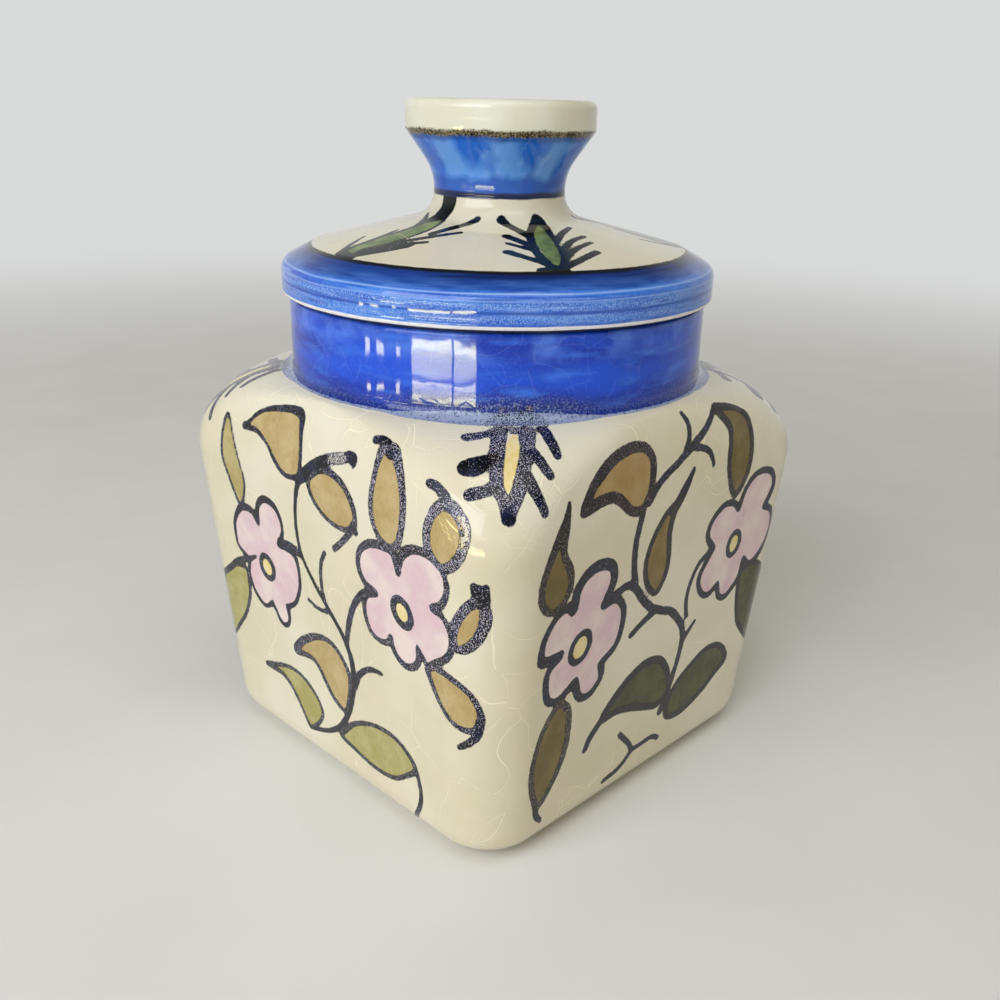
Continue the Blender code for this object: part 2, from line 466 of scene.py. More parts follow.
# %% [markdown]
# A mark is laid by keeping, at every point that it can reach, the shortest distance to it: to
# the edge of the brush line in one value, and to the edge of its wash in another. Inside an
# edge the distance is negative. The tone and the load of the nearest mark are kept with them.

# %% Laying a mark on points
TONE_REACH = 2.0
SLIT_OVERLAP = 0.3


def lay_paint(coats, index, places, marks):
    """Keeps the nearest distances of one face's marks at the mesh points named by index."""
    for mark in marks:
        line = mark["line"]
        reach = FAR + line[:, 2].max() / 2
        near = ((places > line[:, :2].min(0) - reach) & (places < line[:, :2].max(0) + reach)).all(1)
        here, spots = index[near], places[near]
        if not len(here):
            continue
        gap, width = distance_to(spots, line)
        edge = gap - width / 2
        coat = mark["coat"]
        if mark.get("carve"):
            coats["ink"][here] = np.maximum(coats["ink"][here], -edge)
            coats[coat][here] = np.minimum(coats[coat][here], edge - SLIT_OVERLAP)
            coats["tone"][here] = np.where(edge < TONE_REACH, mark["tone"], coats["tone"][here])
            continue
        if coat == "load":
            for name in ("load", "tone"):
                coats[name][here] = np.where(edge < 0.0, mark[name], coats[name][here])
            continue
        coats["load"][here] = np.where(edge < coats["ink"][here], mark["load"], coats["load"][here])
        coats["ink"][here] = np.minimum(coats["ink"][here], edge)
        if coat:
            signed = np.where(inside_of(spots, line), -gap, gap)
            if coat == "leaf":
                closer = (signed < TONE_REACH) & (signed < coats["leaf"][here])
                coats["tone"][here] = np.where(closer, mark["tone"], coats["tone"][here])
            coats[coat][here] = np.minimum(coats[coat][here], signed)


def blank_coats(count):
    """Every coat's values where nothing is painted."""
    coats = {name: np.full(count, FAR) for name in ("ink", "leaf", "petal", "heart")}
    coats["tone"] = np.zeros(count)
    coats["load"] = np.full(count, LOAD)
    return coats


print("a place without paint is", FAR, "mm from any")

# %% [markdown]
# The front left face. A curved stem climbs it, with a flower on either side and leaves that
# grow from both. The numbers are mm along the face and mm up from the foot, and a third
# number, where there is one, is the width of the brush there.

# %% Painting of the left face
left_face = [
    leaf(0.12, [(-37, 105, 1.1), (-39.8, 95), (-37.5, 87), (-33.6, 80.2), (-30.3, 87.5, 1.1),
                 (-33.2, 97, 1.0)], 1.2),
    leaf(OCHRE, [(-28.5, 103.1, 1.6), (-26.4, 104.7, 1.2), (-23.7, 106.9, 1.2), (-19.5, 108.8, 1.4),
                 (-13.7, 110, 1.8), (-8.7, 110.5, 2.3), (-5.7, 109.6, 2.6), (-4.9, 106, 1.7),
                 (-4.4, 102.5), (-4.3, 98.6), (-5, 94.8, 1.8), (-8.7, 93.7), (-12, 94.2), (-15.3, 96.7),
                 (-18.7, 100.2, 1.2), (-23.3, 102.6), (-26.6, 102.7, 1.6)], 1.4, load=0.75),
    stem([(-28.9, 103), (-27.2, 103)], 2.1, load=0.8),
    stem([(-5, 94, 3.0), (-2.4, 96, 3.6), (1.8, 99, 3.8), (6, 101.4, 3.4)], load=0.95),
    stem([(6.8, 101.9, 3.2), (9.6, 103, 3.0), (12.4, 103.8, 2.8)], load=0.05),
    stem([(14, 104.6, 3.0), (15.7, 104.6, 3.2)], load=0.95),
    stem([(15.6, 104.8, 2.4), (16.2, 103.6, 1.6), (15.8, 102.7, 1.0)], load=0.9),
    leaf(OCHRE, [(-1, 94.4, 1.7), (0.8, 97.2, 2.4), (4.4, 98.9, 2.1), (8.8, 98.9, 1.9), (13, 97.2, 1.9),
                 (16, 94.2, 1.9), (17.1, 90.8, 1.8), (15.9, 87.8, 1.9), (12.6, 86.3), (8.3, 86.2),
                 (4.2, 87.6), (0.8, 90.4)], 1.4, load=0.5),
    stem([(15.6, 88, 2.0), (16.7, 87.2, 2.4)]),
    stem([(15.4, 86.9), (13.4, 84.8), (10.8, 82.2), (7.6, 79.5)], 1.8, load=0.5),
    stem([(-4.9, 94, 1.9), (-7.2, 87, 1.5), (-8, 80, 1.4), (-7, 73, 1.4), (-3.2, 67, 1.5),
          (1.3, 62, 1.6), (5.8, 57.2, 1.7), (8.7, 53.2, 1.9), (10.3, 48.4, 2.2), (10.2, 43, 2.3),
          (8.6, 36.8, 2.2), (6.2, 31, 2.0), (3.1, 26.2, 1.9), (-0.4, 23, 1.7), (-4, 20.8, 1.5),
          (-8.7, 19, 1.4), (-12.4, 18, 1.4)], load=0.9),
    stem([(-7.6, 72.6, 1.8), (-11, 74, 2.2), (-16.5, 73.8, 2.2)], load=0.7),
    stem([(1.3, 62), (0.5, 67), (1.2, 73), (3.4, 77)], 1.4),
    stem([(1.6, 59.6), (-2.5, 59.3), (-6.2, 60.5)], 1.3),
    stem([(10.4, 41.5, 2.3), (12.8, 46, 1.9), (16, 49, 1.7), (19, 50.5, 1.5), (22.2, 51, 1.3)], load=0.7),
    flower([[(-33, 64, 1.8), (-37.6, 67, 1.2), (-38.3, 71), (-37.8, 74.6, 1.6), (-34.6, 78.8, 2.1),
            (-31.2, 80, 2.4), (-28, 79.3, 2.2)], [(-26, 76.7, 2.0), (-25.5, 81, 1.9), (-23, 84, 2.1),
            (-20, 84.5, 2.2), (-16.8, 83.3, 1.9), (-14.8, 80), (-14.8, 76.6)], [(-17, 72.8, 2.2),
            (-13.2, 72.6, 1.9), (-10.2, 71.4, 1.7), (-9.1, 67.5), (-9.6, 62.5), (-12.2, 57.5),
            (-15, 55.4, 1.6)], [(-16.5, 54.6, 2.0), (-16.3, 51), (-17.5, 48.8), (-19.2, 48.1, 1.6),
            (-21.2, 49.2), (-22.6, 51.7)], [(-24, 53.4, 1.7), (-26.2, 51.7), (-28.7, 51.5),
            (-31.6, 53.8), (-33.3, 56.8), (-33.9, 60)]], 1.4, load=0.9),
    heart(-24.2, 64.1, 2.9, 3.3, 0.4, 1.8, load=0.7),
    stem([(-29, 66, 0.9), (-33, 64.2, 1.9), (-39, 62, 2.1), (-44, 58.8, 2.1), (-49.5, 56, 2.0)],
          load=0.7),
    leaf(OLIVE, [(-35.4, 60.6), (-34.8, 56), (-35.4, 52), (-38.5, 46), (-43, 41), (-48.8, 36.8),
                 (-50.8, 45), (-50.2, 52), (-48.5, 56.4), (-44, 58.6), (-40, 60.6)], 1.4),
    leaf(OCHRE, [(-14.7, 42, 2.8), (-12.4, 45.2, 2.5), (-9.6, 47.3, 2.4), (-5.6, 49.6, 2.1),
                 (-1, 50.9, 1.8), (3.4, 50.2), (6.8, 47.2), (8.5, 43.6), (8.2, 39), (6.6, 33.6),
                 (5.4, 31.4), (2.8, 32), (0, 34), (-2.6, 37.4), (-4.8, 40.6), (-7.6, 42.2),
                 (-11.2, 42.1, 1.9)], 1.6, load=0.5),
    leaf(OLIVE, [(-31.2, 31.6, 1.7), (-28.3, 32.3, 1.9), (-24.4, 33.6, 1.5), (-20.3, 34.6),
                 (-15.5, 34.6), (-11, 32.9), (-7.2, 29.6), (-5.6, 26), (-7, 22.6), (-9.7, 19.8),
                 (-12.4, 18.2, 1.5), (-14.8, 21.6), (-17.2, 25.6, 1.4), (-20.3, 29.2, 1.5),
                 (-23.6, 31, 1.7), (-27.6, 31.4, 1.9)], 1.3, load=0.5),
    leaf(OLIVE, [(2.2, 22.4, 1.8), (4.4, 25.2, 1.8), (8.4, 29, 1.5), (13.5, 31.9), (19.5, 33.7),
                 (25, 33.9, 1.5), (29.4, 32.2, 1.7), (32.6, 28.6, 1.9), (29, 24.6), (24.6, 21.2),
                 (20, 19.8), (14.5, 19.6), (8.3, 20.7)], 1.4, load=0.55),
    stem([(33, 28.4), (34.1, 22.4), (33.2, 17.6), (31, 13.4), (29.6, 10.4)], 1.5),
    stem([(8.8, 53.6, 1.9), (10.4, 59.4), (13, 65.6), (17, 70.6, 2.2), (21, 73, 2.5)], 2.0),
    flower([[(22.4, 73.4, 2.4), (18.8, 74.6, 2.0), (17.1, 77), (16.8, 80), (18, 83, 1.8),
            (21, 85.6, 2.1), (25, 87, 2.4), (28.4, 87.3, 2.5), (30.6, 86.2, 2.6)], [(31.5, 82.2, 1.8),
            (32.6, 86.4, 2.3), (35.2, 89.4, 2.4), (38.6, 91, 2.3), (42, 91.2, 2.2), (45.2, 90.4),
            (47.4, 88.2), (47.8, 85.4), (46.6, 82), (44.8, 79.7, 2.1)], [(42.8, 78.4, 2.3),
            (46, 77.9, 1.9), (47.8, 75.8), (48.4, 73), (47.8, 70), (45.6, 66.8, 1.8), (42.6, 64.2, 1.9),
            (39.8, 62.2, 1.9)], [(36.7, 65.4, 1.6), (36.7, 61.8, 1.9), (34.8, 59.2, 1.9),
            (31.8, 58, 2.0), (28.8, 59.2, 1.9), (27.4, 61.4)], [(27, 63.6, 1.9), (25.6, 61.4),
            (22.4, 60.6, 1.6), (19.4, 61.8, 1.6), (17.9, 65, 1.6), (17.7, 68.4, 1.7), (19, 71.6, 2.0)]],
            1.8, load=0.5),
    heart(31.9, 72.3, 3.0, 3.3, 0.35, 2.1),
    leaf(OCHRE, [(25, 109.6, 2.6), (24.2, 106.5, 1.9), (23.6, 103), (23, 99), (23, 95), (24, 91.4),
                 (26, 88.8), (29.4, 87.9, 1.8), (32, 89.6, 1.9), (33.4, 93, 2.0), (34, 97, 2.2),
                 (33.8, 101, 2.3), (32.6, 105, 2.6), (30.6, 108.4, 3.0), (28, 110.6, 3.2)],
                 1.7, load=0.3),
    stem([(22, 110.9, 2.2), (23.6, 111.4, 2.4), (26, 111, 2.9), (27.8, 109.6, 3.2)], load=0.7),
    leaf(OCHRE, [(45.4, 104.2, 2.7), (43.3, 101, 2.4), (42.1, 97.6), (42.1, 94.2), (43.6, 91.4),
                 (46.6, 90.2, 2.3), (49.4, 91.8, 2.4), (51.6, 94.8), (52.6, 98.4, 2.7),
                 (51.8, 101.8, 2.8), (49.4, 104.2, 2.9), (47, 105.2, 2.9)], 2.5, load=0.2),
    stem([(40.9, 107.3, 2.3), (43, 107.3, 2.5), (45.4, 106.2, 2.8), (47.4, 104.6, 2.8)], load=0.65),
    # painted highlight: the glaze's glint on this leaf's right edge, drawn as a near-white patch
    thin_paint_and_glint([(50.6, 103.4, 0.8), (52.1, 101.6, 1.2), (52.5, 99.6, 1.2), (52.2, 97.8, 0.7)], 1.2, -0.45),
    leaf(OCHRE, [(54.6, 85, 2.4), (52, 82.2), (50.2, 79.2), (49, 75.8), (48.9, 72.3), (51, 72),
                 (53.6, 74.2, 2.5), (55.6, 77.4, 2.7), (56.8, 81, 2.9), (56.6, 84.2, 2.7)],
                 2.2, load=0.3),
    stem([(54.5, 89.2, 1.5), (55, 86.6, 2.0), (55.2, 84.6, 2.2)]),
    stem([(55.9, 88.8, 1.7), (56, 85, 2.6)]),
    stem([(57.3, 89.2, 1.4), (57.2, 86.4, 2.0), (56.8, 84.4, 2.2)]),
    leaf(OCHRE, [(39.8, 61.6, 2.1), (44, 63.2, 1.9), (48.2, 62.9, 1.9), (51.8, 61), (53.9, 57.4),
                 (54.3, 53.4, 2.0), (52.8, 50.9, 2.2), (50, 50.3), (46.8, 51.2, 1.6), (43.6, 53.8, 1.6),
                 (41.4, 57.2)], 1.7, load=0.45),
    stem([(54, 53.4, 2.2), (53.2, 49.8, 2.2), (50.8, 46.8, 1.9), (48.4, 44.8, 1.5)]),
]
print("marks on the left face:", len(left_face))

# %% [markdown]
# The front right face repeats the same garden, but no hand paints a thing twice alike. Its
# leaves are darker, umber above and moss green below, where the kiln was hotter. The whole
# face was painted with a fuller brush, so its lines break into fewer grains.

# %% Painting of the right face
FULLEST = 0.95


def wetter(marks, more):
    """The same marks, painted with a fuller brush, so fewer grains show pale."""
    return [{**mark, "load": min(mark["load"] + more, FULLEST)} for mark in marks]


right_face = wetter([
    leaf(TAN, [(-34.1, 99.2, 2.8), (-31.2, 103.2, 3.0), (-27, 106, 3.2), (-22.8, 107.8, 3.0),
               (-17, 108.6, 2.8), (-12.4, 107.9, 2.6), (-9.9, 105.8), (-9.1, 103.3), (-9.5, 100),
               (-10.6, 96.2), (-12.8, 93.6), (-15.3, 93.1), (-18.2, 94.5), (-20.8, 97.1, 2.7),
               (-23.7, 99.1, 2.8), (-27.8, 99.6, 3.0), (-31.6, 99.3, 3.4)], 2.5, load=0.45),
    stem([(-34.5, 98.8, 2.2), (-33.2, 100.4, 3.0)], load=0.85),
    stem([(-13, 92.7), (-14.2, 85), (-13.6, 78), (-12, 73)], 2.3),
    stem([(-10.6, 94.2, 2.2), (-7.8, 97.2, 2.2), (-4.4, 99.2, 2.2), (0, 100.9, 2.1), (4, 102.8, 2.3),
          (7.6, 104.5, 2.4), (11.8, 106.7, 2.1), (15, 109.2, 1.9), (17.6, 112, 1.9)]),
    stem([(3.6, 103.4, 1.9), (5.5, 106.2, 1.9), (5.9, 109.6, 1.7), (4.4, 112.6, 1.4)]),
    stem([(6.5, 103.8, 2.1), (11.2, 102.6, 1.9), (14, 100.8, 1.8), (15.4, 97.6, 1.5)]),
    leaf(UMBER, [(18, 111.6, 2.4), (22, 111.6, 2.3), (26.5, 110.6), (30.6, 108), (32.4, 103),
                 (32.6, 97.6), (31, 91.7), (28, 87.4), (25.2, 88.6), (23.2, 92.4), (22.3, 97), (23, 102),
                 (22.6, 106.4, 2.4)], 2.0, load=0.5),
    flower([[(20.6, 73, 2.4), (17, 77.6), (18.1, 81.8), (22.5, 85), (27.2, 84.7)], [(30.2, 82.6, 2.3),
            (31.7, 87.2), (35, 90.9, 2.1), (40, 91.9, 2.1), (44.6, 90.5), (46.4, 86.6)],
            [(43.6, 80.8, 2.3), (48, 79), (49.6, 73.6), (46.4, 67.2), (41.4, 63.6)], [(37.4, 66, 2.0),
            (36.6, 60.8), (34, 57.8), (30.8, 55.8), (27.5, 57)], [(25.8, 61, 2.1), (21.7, 58.9),
            (17.9, 61), (16.2, 66)]], 2.0, load=0.75),
    heart(30.8, 72.1, 2.7, 3.4, -0.2, 1.8, load=0.7),
    leaf(MOSS, [(38, 62.4), (37.4, 56), (39.6, 47.5), (43, 42.5), (50, 38.4), (54.2, 46), (53, 57),
                (46, 63)], 2.0, load=0.7),
    stem([(20.4, 73, 1.8), (15, 70.2), (12.4, 65.4), (11.7, 60.4), (13, 55)], 1.7),
    flower([[(-34.8, 75, 3.0), (-34.2, 79.6, 3.2), (-31.8, 82.4, 3.4), (-27.6, 83.6, 3.3),
            (-22.8, 82, 2.9), (-21, 77.8, 2.8)], [(-23.4, 72, 3.2), (-18.9, 71.6, 2.4), (-15.8, 68),
            (-15.4, 63), (-17, 58)], [(-22, 55, 2.6), (-21.4, 50.8), (-25, 47.6), (-29, 48.8, 2.4)],
            [(-31.4, 54, 3.0), (-36.6, 51.9), (-40.2, 53), (-41.8, 57), (-41.6, 61.7)],
            [(-38, 64.4, 3.0), (-43.4, 65.2, 2.8), (-44.6, 67.6, 2.4), (-43.8, 71.6), (-40.6, 75.6),
            (-37, 76.6, 2.6)]], 2.2),
    heart(-30.8, 63.4, 3.3, 3.8, -0.25, 1.9, load=0.7),
    leaf(UMBER, [(-39, 101.8, 1.5), (-39.9, 99.3, 2.2), (-41.8, 96.6, 2.5), (-43.6, 93.4, 2.7),
                 (-45.1, 90, 2.6), (-46.4, 85.8, 2.3), (-46, 81.7), (-44, 78.6, 1.9), (-41.3, 77.5, 1.9),
                 (-38.3, 78.9), (-36.9, 82), (-37.4, 85.9, 2.3), (-39.7, 90), (-40.6, 93, 2.3),
                 (-40, 96.4, 2.4)], 2.1, load=0.3),
    stem([(-38.8, 102.6, 1.3), (-40, 98.6, 2.8), (-41.6, 95.2, 3.0)], load=0.5),
    leaf(UMBER, [(-36.3, 50.2, 2.2), (-40.8, 45.8), (-43, 39.6), (-43.6, 33.5), (-42.4, 27.2),
                 (-39.9, 22.6), (-35.2, 28, 2.1), (-32.4, 34.4, 2.3), (-31.8, 40.4, 2.3),
                 (-32.6, 46.6, 2.4)], 1.9, load=0.2),
    stem([(-41.4, 24.8, 1.8), (-40.6, 20.4, 1.8), (-38.7, 17.5, 1.5)]),
    stem([(-21, 73), (-15.3, 73.8), (-12, 72), (-8.7, 68), (-4.5, 64), (0.5, 61.2), (5, 59.3), (9, 55.8),
          (12, 51.7), (12.7, 46.7, 2.2), (12, 41.7, 2.2), (10.8, 36.7), (9.4, 31.7, 2.6),
          (7.6, 27.6, 3.0)], 2.4),
    stem([(-1.2, 62), (-6.2, 60.6), (-11, 58.4)], 2.2),
    stem([(13, 47.4, 2.0), (15, 49.8), (17.5, 52.2, 1.4)], 1.7),
    leaf(0.68, [(1.6, 91.2, 2.4), (-3.2, 89.2, 2.1), (-7.2, 84), (-9, 77.5), (-7.2, 71.2),
               (-2.8, 67.4, 1.7), (0.1, 71.7), (0.3, 77, 2.0), (-0.8, 83, 2.2), (-0.2, 88, 2.4)],
               1.9, load=0.55),
    stem([(7, 98.2, 1.4), (4.4, 95, 2.6), (1.6, 91.6, 3.4), (-0.8, 89.2, 2.6)], load=0.8),
    leaf(MOSS, [(-18.4, 37, 2.6), (-14.4, 41.4, 2.8), (-8.5, 45, 2.9), (-2.6, 46.7, 2.8), (3, 45.6),
                (6.4, 42.4), (8.8, 38), (9.7, 33.2), (5.8, 30.6), (1.3, 31.6), (-5.3, 34.3),
                (-12, 36.4)], 2.3),
    stem([(-24, 30.6, 2.2), (-22, 34, 2.6), (-17.4, 37.6, 2.6)], load=0.7),
    leaf(MOSS, [(10.4, 28.4, 2.2), (13.6, 34), (19.4, 37.8), (25.4, 40.5), (31.4, 40.2),
                (35.6, 37.2, 2.2), (37, 33.6, 2.4), (32.5, 30.2), (26.7, 26.2), (18.3, 23),
                (11.4, 24.2, 2.2)], 2.0),
    stem([(-9.9, 28), (-5.3, 23), (-2.8, 20), (5, 20), (8.3, 18.4)], 1.7),
    stem([(-2.8, 20), (-8, 16.5), (-14.5, 15.4)], 1.8),
], 0.25)
print("marks on the right face:", len(right_face))

# %% [markdown]
# On each corner of the shoulder sits a comb leaf: a dark body with a yellow slit and three
# fingers on each side. Its places are mm either side of the corner's diagonal, and mm down
# from the foot of the neck. Its root runs into the blue of the neck.

# %% Comb leaf of the shoulder's corners
comb_leaf = [
    stem([(-0.4, 0.8, 4.2), (5, 2.0, 6.6), (10, 0.4, 4.2)], load=-0.12),
    stem([(1.4, 4.4, 1.6), (2, 0, 2.6)], load=0.0),
    stem([(7.6, 5, 1.4), (7.2, 0, 2.8)], load=0.1),
    stem([(1.5, 1.5, 3.4), (0.9, -4, 3.6), (0.5, -9), (0.4, -14), (0.6, -18, 3.2), (1.6, -21.4, 3.0),
          (2.7, -24.4, 3.0), (3, -26.5, 2.8)], 3.6, load=0.25),
    stem([(7, 1, 3.8), (7, -5, 4.0), (6.8, -10), (6.4, -13.4), (5.6, -17), (5, -20.6), (3.9, -24, 2.8),
          (3.2, -26.3, 2.7)], 3.2, load=0.3),
    stem([(4.2, 1.6, 3.4), (4.2, -2.4, 2.6)], load=0.15),
    stem([(3, -24.8, 3.6), (3.1, -26.4, 3.4)], load=0.9),
    stem([(0.5, -2.6, 2.8), (-2.6, -4.1, 2.7), (-6.1, -5.3, 3.0)], load=0.4),
    stem([(0.6, -12, 3.4), (-1.8, -13, 4.2), (-4.4, -14.4, 5.2), (-6, -14.8, 4.4)], load=0.85),
    stem([(1, -19.3, 3.2), (-2, -20.5, 2.9), (-5, -21.3, 3.2)], load=0.42),
    stem([(9, 0.8, 3.2), (10.9, -2.7, 2.7), (12.2, -6.3, 2.6), (13.4, -9.6, 2.3), (13.8, -11, 2.1)],
          load=0.6),
    stem([(7.4, -9.4, 3.2), (9.4, -12, 2.6), (11, -14.6, 2.4), (12.2, -16.2, 2.2)], load=0.55),
    stem([(6.6, -16.8, 3.4), (8.9, -20.5, 2.7), (10.6, -23.3, 2.4), (11.3, -24.6, 2.2)], load=0.55),
    slit("heart", [(4.2, -4.4, 0.7), (4.1, -6.3, 2.0), (3.8, -9.9, 2.9), (3.4, -13.4, 2.8),
                   (3, -17, 2.2), (2.8, -19.9, 1.3), (2.8, -21, 0.5)]),
    thin_paint_and_glint([(-1.6, -10.9, 1.8), (-0.4, -11.6, 2.4), (0.6, -12.2, 1.6)], 2.0, 0.5, TAN),
]
print("marks in a comb leaf:", len(comb_leaf))

# %% [markdown]
# The two faces that the photograph doesn't show get the same two gardens, bent a little, as a
# second drawing of the same pattern comes out.

# %% The gardens of the four faces
SWAY_UP, SWAY_ALONG = 19, 15


def bent_copy(marks, sway, lift):
    """The same marks, drawn again by a hand that wanders a millimetre or two."""
    copies = []
    for mark in marks:
        line = mark["line"].copy()
        along, up = line[:, 0].copy(), line[:, 1].copy()
        line[:, 0] = along + sway * np.sin(up / SWAY_UP + sway)
        line[:, 1] = up + lift * np.sin(along / SWAY_ALONG + 2 * lift)
        copies.append({**mark, "line": line})
    return copies


faces = [right_face, bent_copy(left_face, 1.3, -0.9), bent_copy(right_face, -1.2, 1.0), left_face]
print("marks on each face:", [len(marks) for marks in faces])

# %% [markdown]
# All the marks are laid on the outside's grid of points, face by face, and each face brings
# the comb leaf of one corner. A mark is only measured from points that it can reach. Then the
# grid's values go to the mesh, where every point knows its row and column.

# %% Lay the painting on the body
FACE_REACH = 66
COMB_REACH = 24
COMB_LENGTH = 40

grid_shape = climb.shape
grid_coats = blank_coats(climb.size)
for face, marks in enumerate(faces):
    along, usable = along_face(face)
    index = np.flatnonzero(usable & (np.abs(along) < FACE_REACH))
    places = np.stack([along.ravel()[index], climb.ravel()[index]], axis=1)
    lay_paint(grid_coats, index, places, marks)
    corner_along = along + painted_reach + painted_corner * pi / 4
    index = np.flatnonzero(usable & (np.abs(corner_along) < COMB_REACH) & (collar > -COMB_LENGTH))
    places = np.stack([corner_along.ravel()[index], collar.ravel()[index]], axis=1)
    lay_paint(grid_coats, index, places, comb_leaf)


def store(mesh, coats):
    """Keeps each coat's values on the mesh, where the finish can read them."""
    for name, values in coats.items():
        layer = mesh.attributes.new(name, "FLOAT", "POINT")
        layer.data.foreach_set("value", values.astype(np.float32))


on_grid = (body_row >= FIRST_PAINTED) & (body_row < LAST_PAINTED)
body_coats = blank_coats(len(body_mesh.vertices))
spot = (body_row[on_grid] - FIRST_PAINTED) * grid_shape[1] + body_column[on_grid]
for name in body_coats:
    body_coats[name][on_grid] = grid_coats[name][spot]
body_coats["inside"] = (body_row >= FIRST_INSIDE).astype(float)
store(body_mesh, body_coats)
print("painted share of the outside:", round(float((grid_coats["ink"] < 0).mean()), 3))

# %% [markdown]
# A mesh becomes a piece when an object shows it and it rides on the body that it belongs to.
# The faces all turn outward, and the smooth shading hides the small flats.

# %% Finish a piece
def finish_piece(name, mesh, body, node):
    """Shows a mesh as a piece that stands for a node and rides on a body."""
    bm = bmesh.new()
    bm.from_mesh(mesh)
    bmesh.ops.recalc_face_normals(bm, faces=bm.faces)
    bm.to_mesh(mesh)
    bm.free()
    mesh.shade_smooth()
    piece = bpy.data.objects.new(name, mesh)
    bpy.context.scene.collection.objects.link(piece)
    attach(piece, body)
    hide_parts(node)
    print(name, len(mesh.vertices), "points", len(mesh.polygons), "faces")
    return piece


jar_body = finish_piece("jar_body_painted", body_mesh, "jar", "jar_body")

# %% [markdown]
# The lid was thrown on a wheel, so it is one profile turned about the axis. The profile starts
# under the knob, runs down the waist and the dome, over the rim, round the plug ring that
# drops into the neck, and back to the axis inside.

# %% Profile of the lid cover, in mm
PLUG_DEPTH = 10.0
SEAT = cover_low[2] + PLUG_DEPTH
DOME_RADIUS = 48.5
DOME_EDGE = 12.1
DOME_SLOPE = radians(14.2)
WAIST_RADIUS = 16.8
WAIST_FILLET = 6.8
RIM_HEIGHT = 9.2
SLOPE_FOOT = (54.2, 8.98)
RIM_ROUND = 3.0
UNDER_ROUND = 1.6
GROOVE_TOPS = (6.0, 2.6)
PLUG_RADIUS = 48.2
PLUG_WALL = 4.0
PLUG_ROUND = 1.0
BORE_EDGE = 1.2


def dome_height(radius):
    """Height of the dome over the seat, at a distance from the axis."""
    return DOME_EDGE + (DOME_RADIUS - radius) * tan(DOME_SLOPE)


def divided(points, step):
    """Points set between the given ones, about a step apart."""
    line = [points[0]]
    for (x0, z0), (x1, z1) in zip(points, points[1:]):
        count = max(1, int(np.hypot(x1 - x0, z1 - z0) / step + 0.5))
        line += [(x0 + (x1 - x0) * k / count, z0 + (z1 - z0) * k / count) for k in range(1, count + 1)]
    return line


def groove(top):
    """A thin groove thrown round the rim, half a tenth deep, from its top edge down."""
    return [(RIM_RADIUS - depth, top - drop)
            for depth, drop in ((0.01, 0.0), (0.05, 0.2), (0.05, 0.4), (0.01, 0.6))]


def cover_profile():
    """The whole outline, from the axis at the top to the axis under the dome."""
    fillet_end = WAIST_RADIUS + WAIST_FILLET * (1 - sin(DOME_SLOPE))
    top = dome_height(fillet_end) + WAIST_FILLET * cos(DOME_SLOPE)
    waist = arc(WAIST_RADIUS + WAIST_FILLET, top, WAIST_FILLET, pi, 3 * pi / 2 - DOME_SLOPE, 10)
    dome = divided([waist[-1], (DOME_RADIUS - 0.6, dome_height(DOME_RADIUS - 0.6))], 0.8)
    bevel = divided([(DOME_RADIUS + 0.7, DOME_EDGE - 0.45), SLOPE_FOOT], 1.2)
    rim = arc(RIM_RADIUS - RIM_ROUND, RIM_HEIGHT - RIM_ROUND, RIM_ROUND, radians(60), 0, 6)
    high_groove, low_groove = (groove(top) for top in GROOVE_TOPS)
    side = high_groove + [(RIM_RADIUS, 4.8), (RIM_RADIUS, 3.0)] + low_groove
    under = arc(RIM_RADIUS - UNDER_ROUND, UNDER_ROUND, UNDER_ROUND, 0, -pi / 2, 5)
    plug = [(PLUG_RADIUS + 0.8, 0.0), (PLUG_RADIUS + 0.2, -0.2), (PLUG_RADIUS, -0.9)]
    plug += arc(PLUG_RADIUS - PLUG_ROUND, PLUG_ROUND - PLUG_DEPTH, PLUG_ROUND, 0, -pi / 2, 4)
    bore = PLUG_RADIUS - PLUG_WALL
    plug += arc(bore + PLUG_ROUND, PLUG_ROUND - PLUG_DEPTH, PLUG_ROUND, -pi / 2, -pi, 4)
    drop = WALL / cos(DOME_SLOPE)
    hollow = divided([(bore, dome_height(bore) - drop - BORE_EDGE),
                      (bore - BORE_EDGE, dome_height(bore - BORE_EDGE) - drop),
                      (WAIST_RADIUS, dome_height(WAIST_RADIUS) - drop)], 5.0)
    profile = [(0.0, top)] + waist + dome[1:] + bevel + rim + side + under + plug + hollow
    return profile + [(0.0, dome_height(WAIST_RADIUS) - drop)]


cover_line = [(x, z + SEAT) for x, z in cover_profile()]
print("cover profile points", len(cover_line), "top", round(cover_line[0][1], 2))

# %% [markdown]
# Both round pieces are spun from a profile, as clay is on the wheel. The lid takes a step for
# every degree, because its painting is kept at the points of its mesh.

# %% Turn the lid cover
LID_STEPS = 360
MERGE = 0.00001


def turned(name, profile, steps):
    """A closed solid, spun from a profile that starts and ends on the axis."""
    bm = bmesh.new()
    points = [bm.verts.new((x * MM, 0.0, z * MM)) for x, z in profile]
    edges = [bm.edges.new(pair) for pair in zip(points, points[1:])]
    bmesh.ops.spin(bm, geom=points + edges, cent=(0, 0, 0), axis=(0, 0, 1), angle=2 * pi,
                   steps=steps, use_merge=True, use_duplicate=False)
    bmesh.ops.remove_doubles(bm, verts=bm.verts, dist=MERGE)
    mesh = bpy.data.meshes.new(name)
    bm.to_mesh(mesh)
    bm.free()
    return mesh


cover_mesh = turned("lid_cover_painted", cover_line, LID_STEPS)
print("cover faces", len(cover_mesh.polygons))

# %% [markdown]
# Five feathery leaves lie on the dome, each with its foot at the rim and its tip at the knob.
# They are drawn on the plan of the lid: mm to the right of the axis, and mm away from the eye.
# Two of them were drawn from the photograph, and the other three are turned copies.

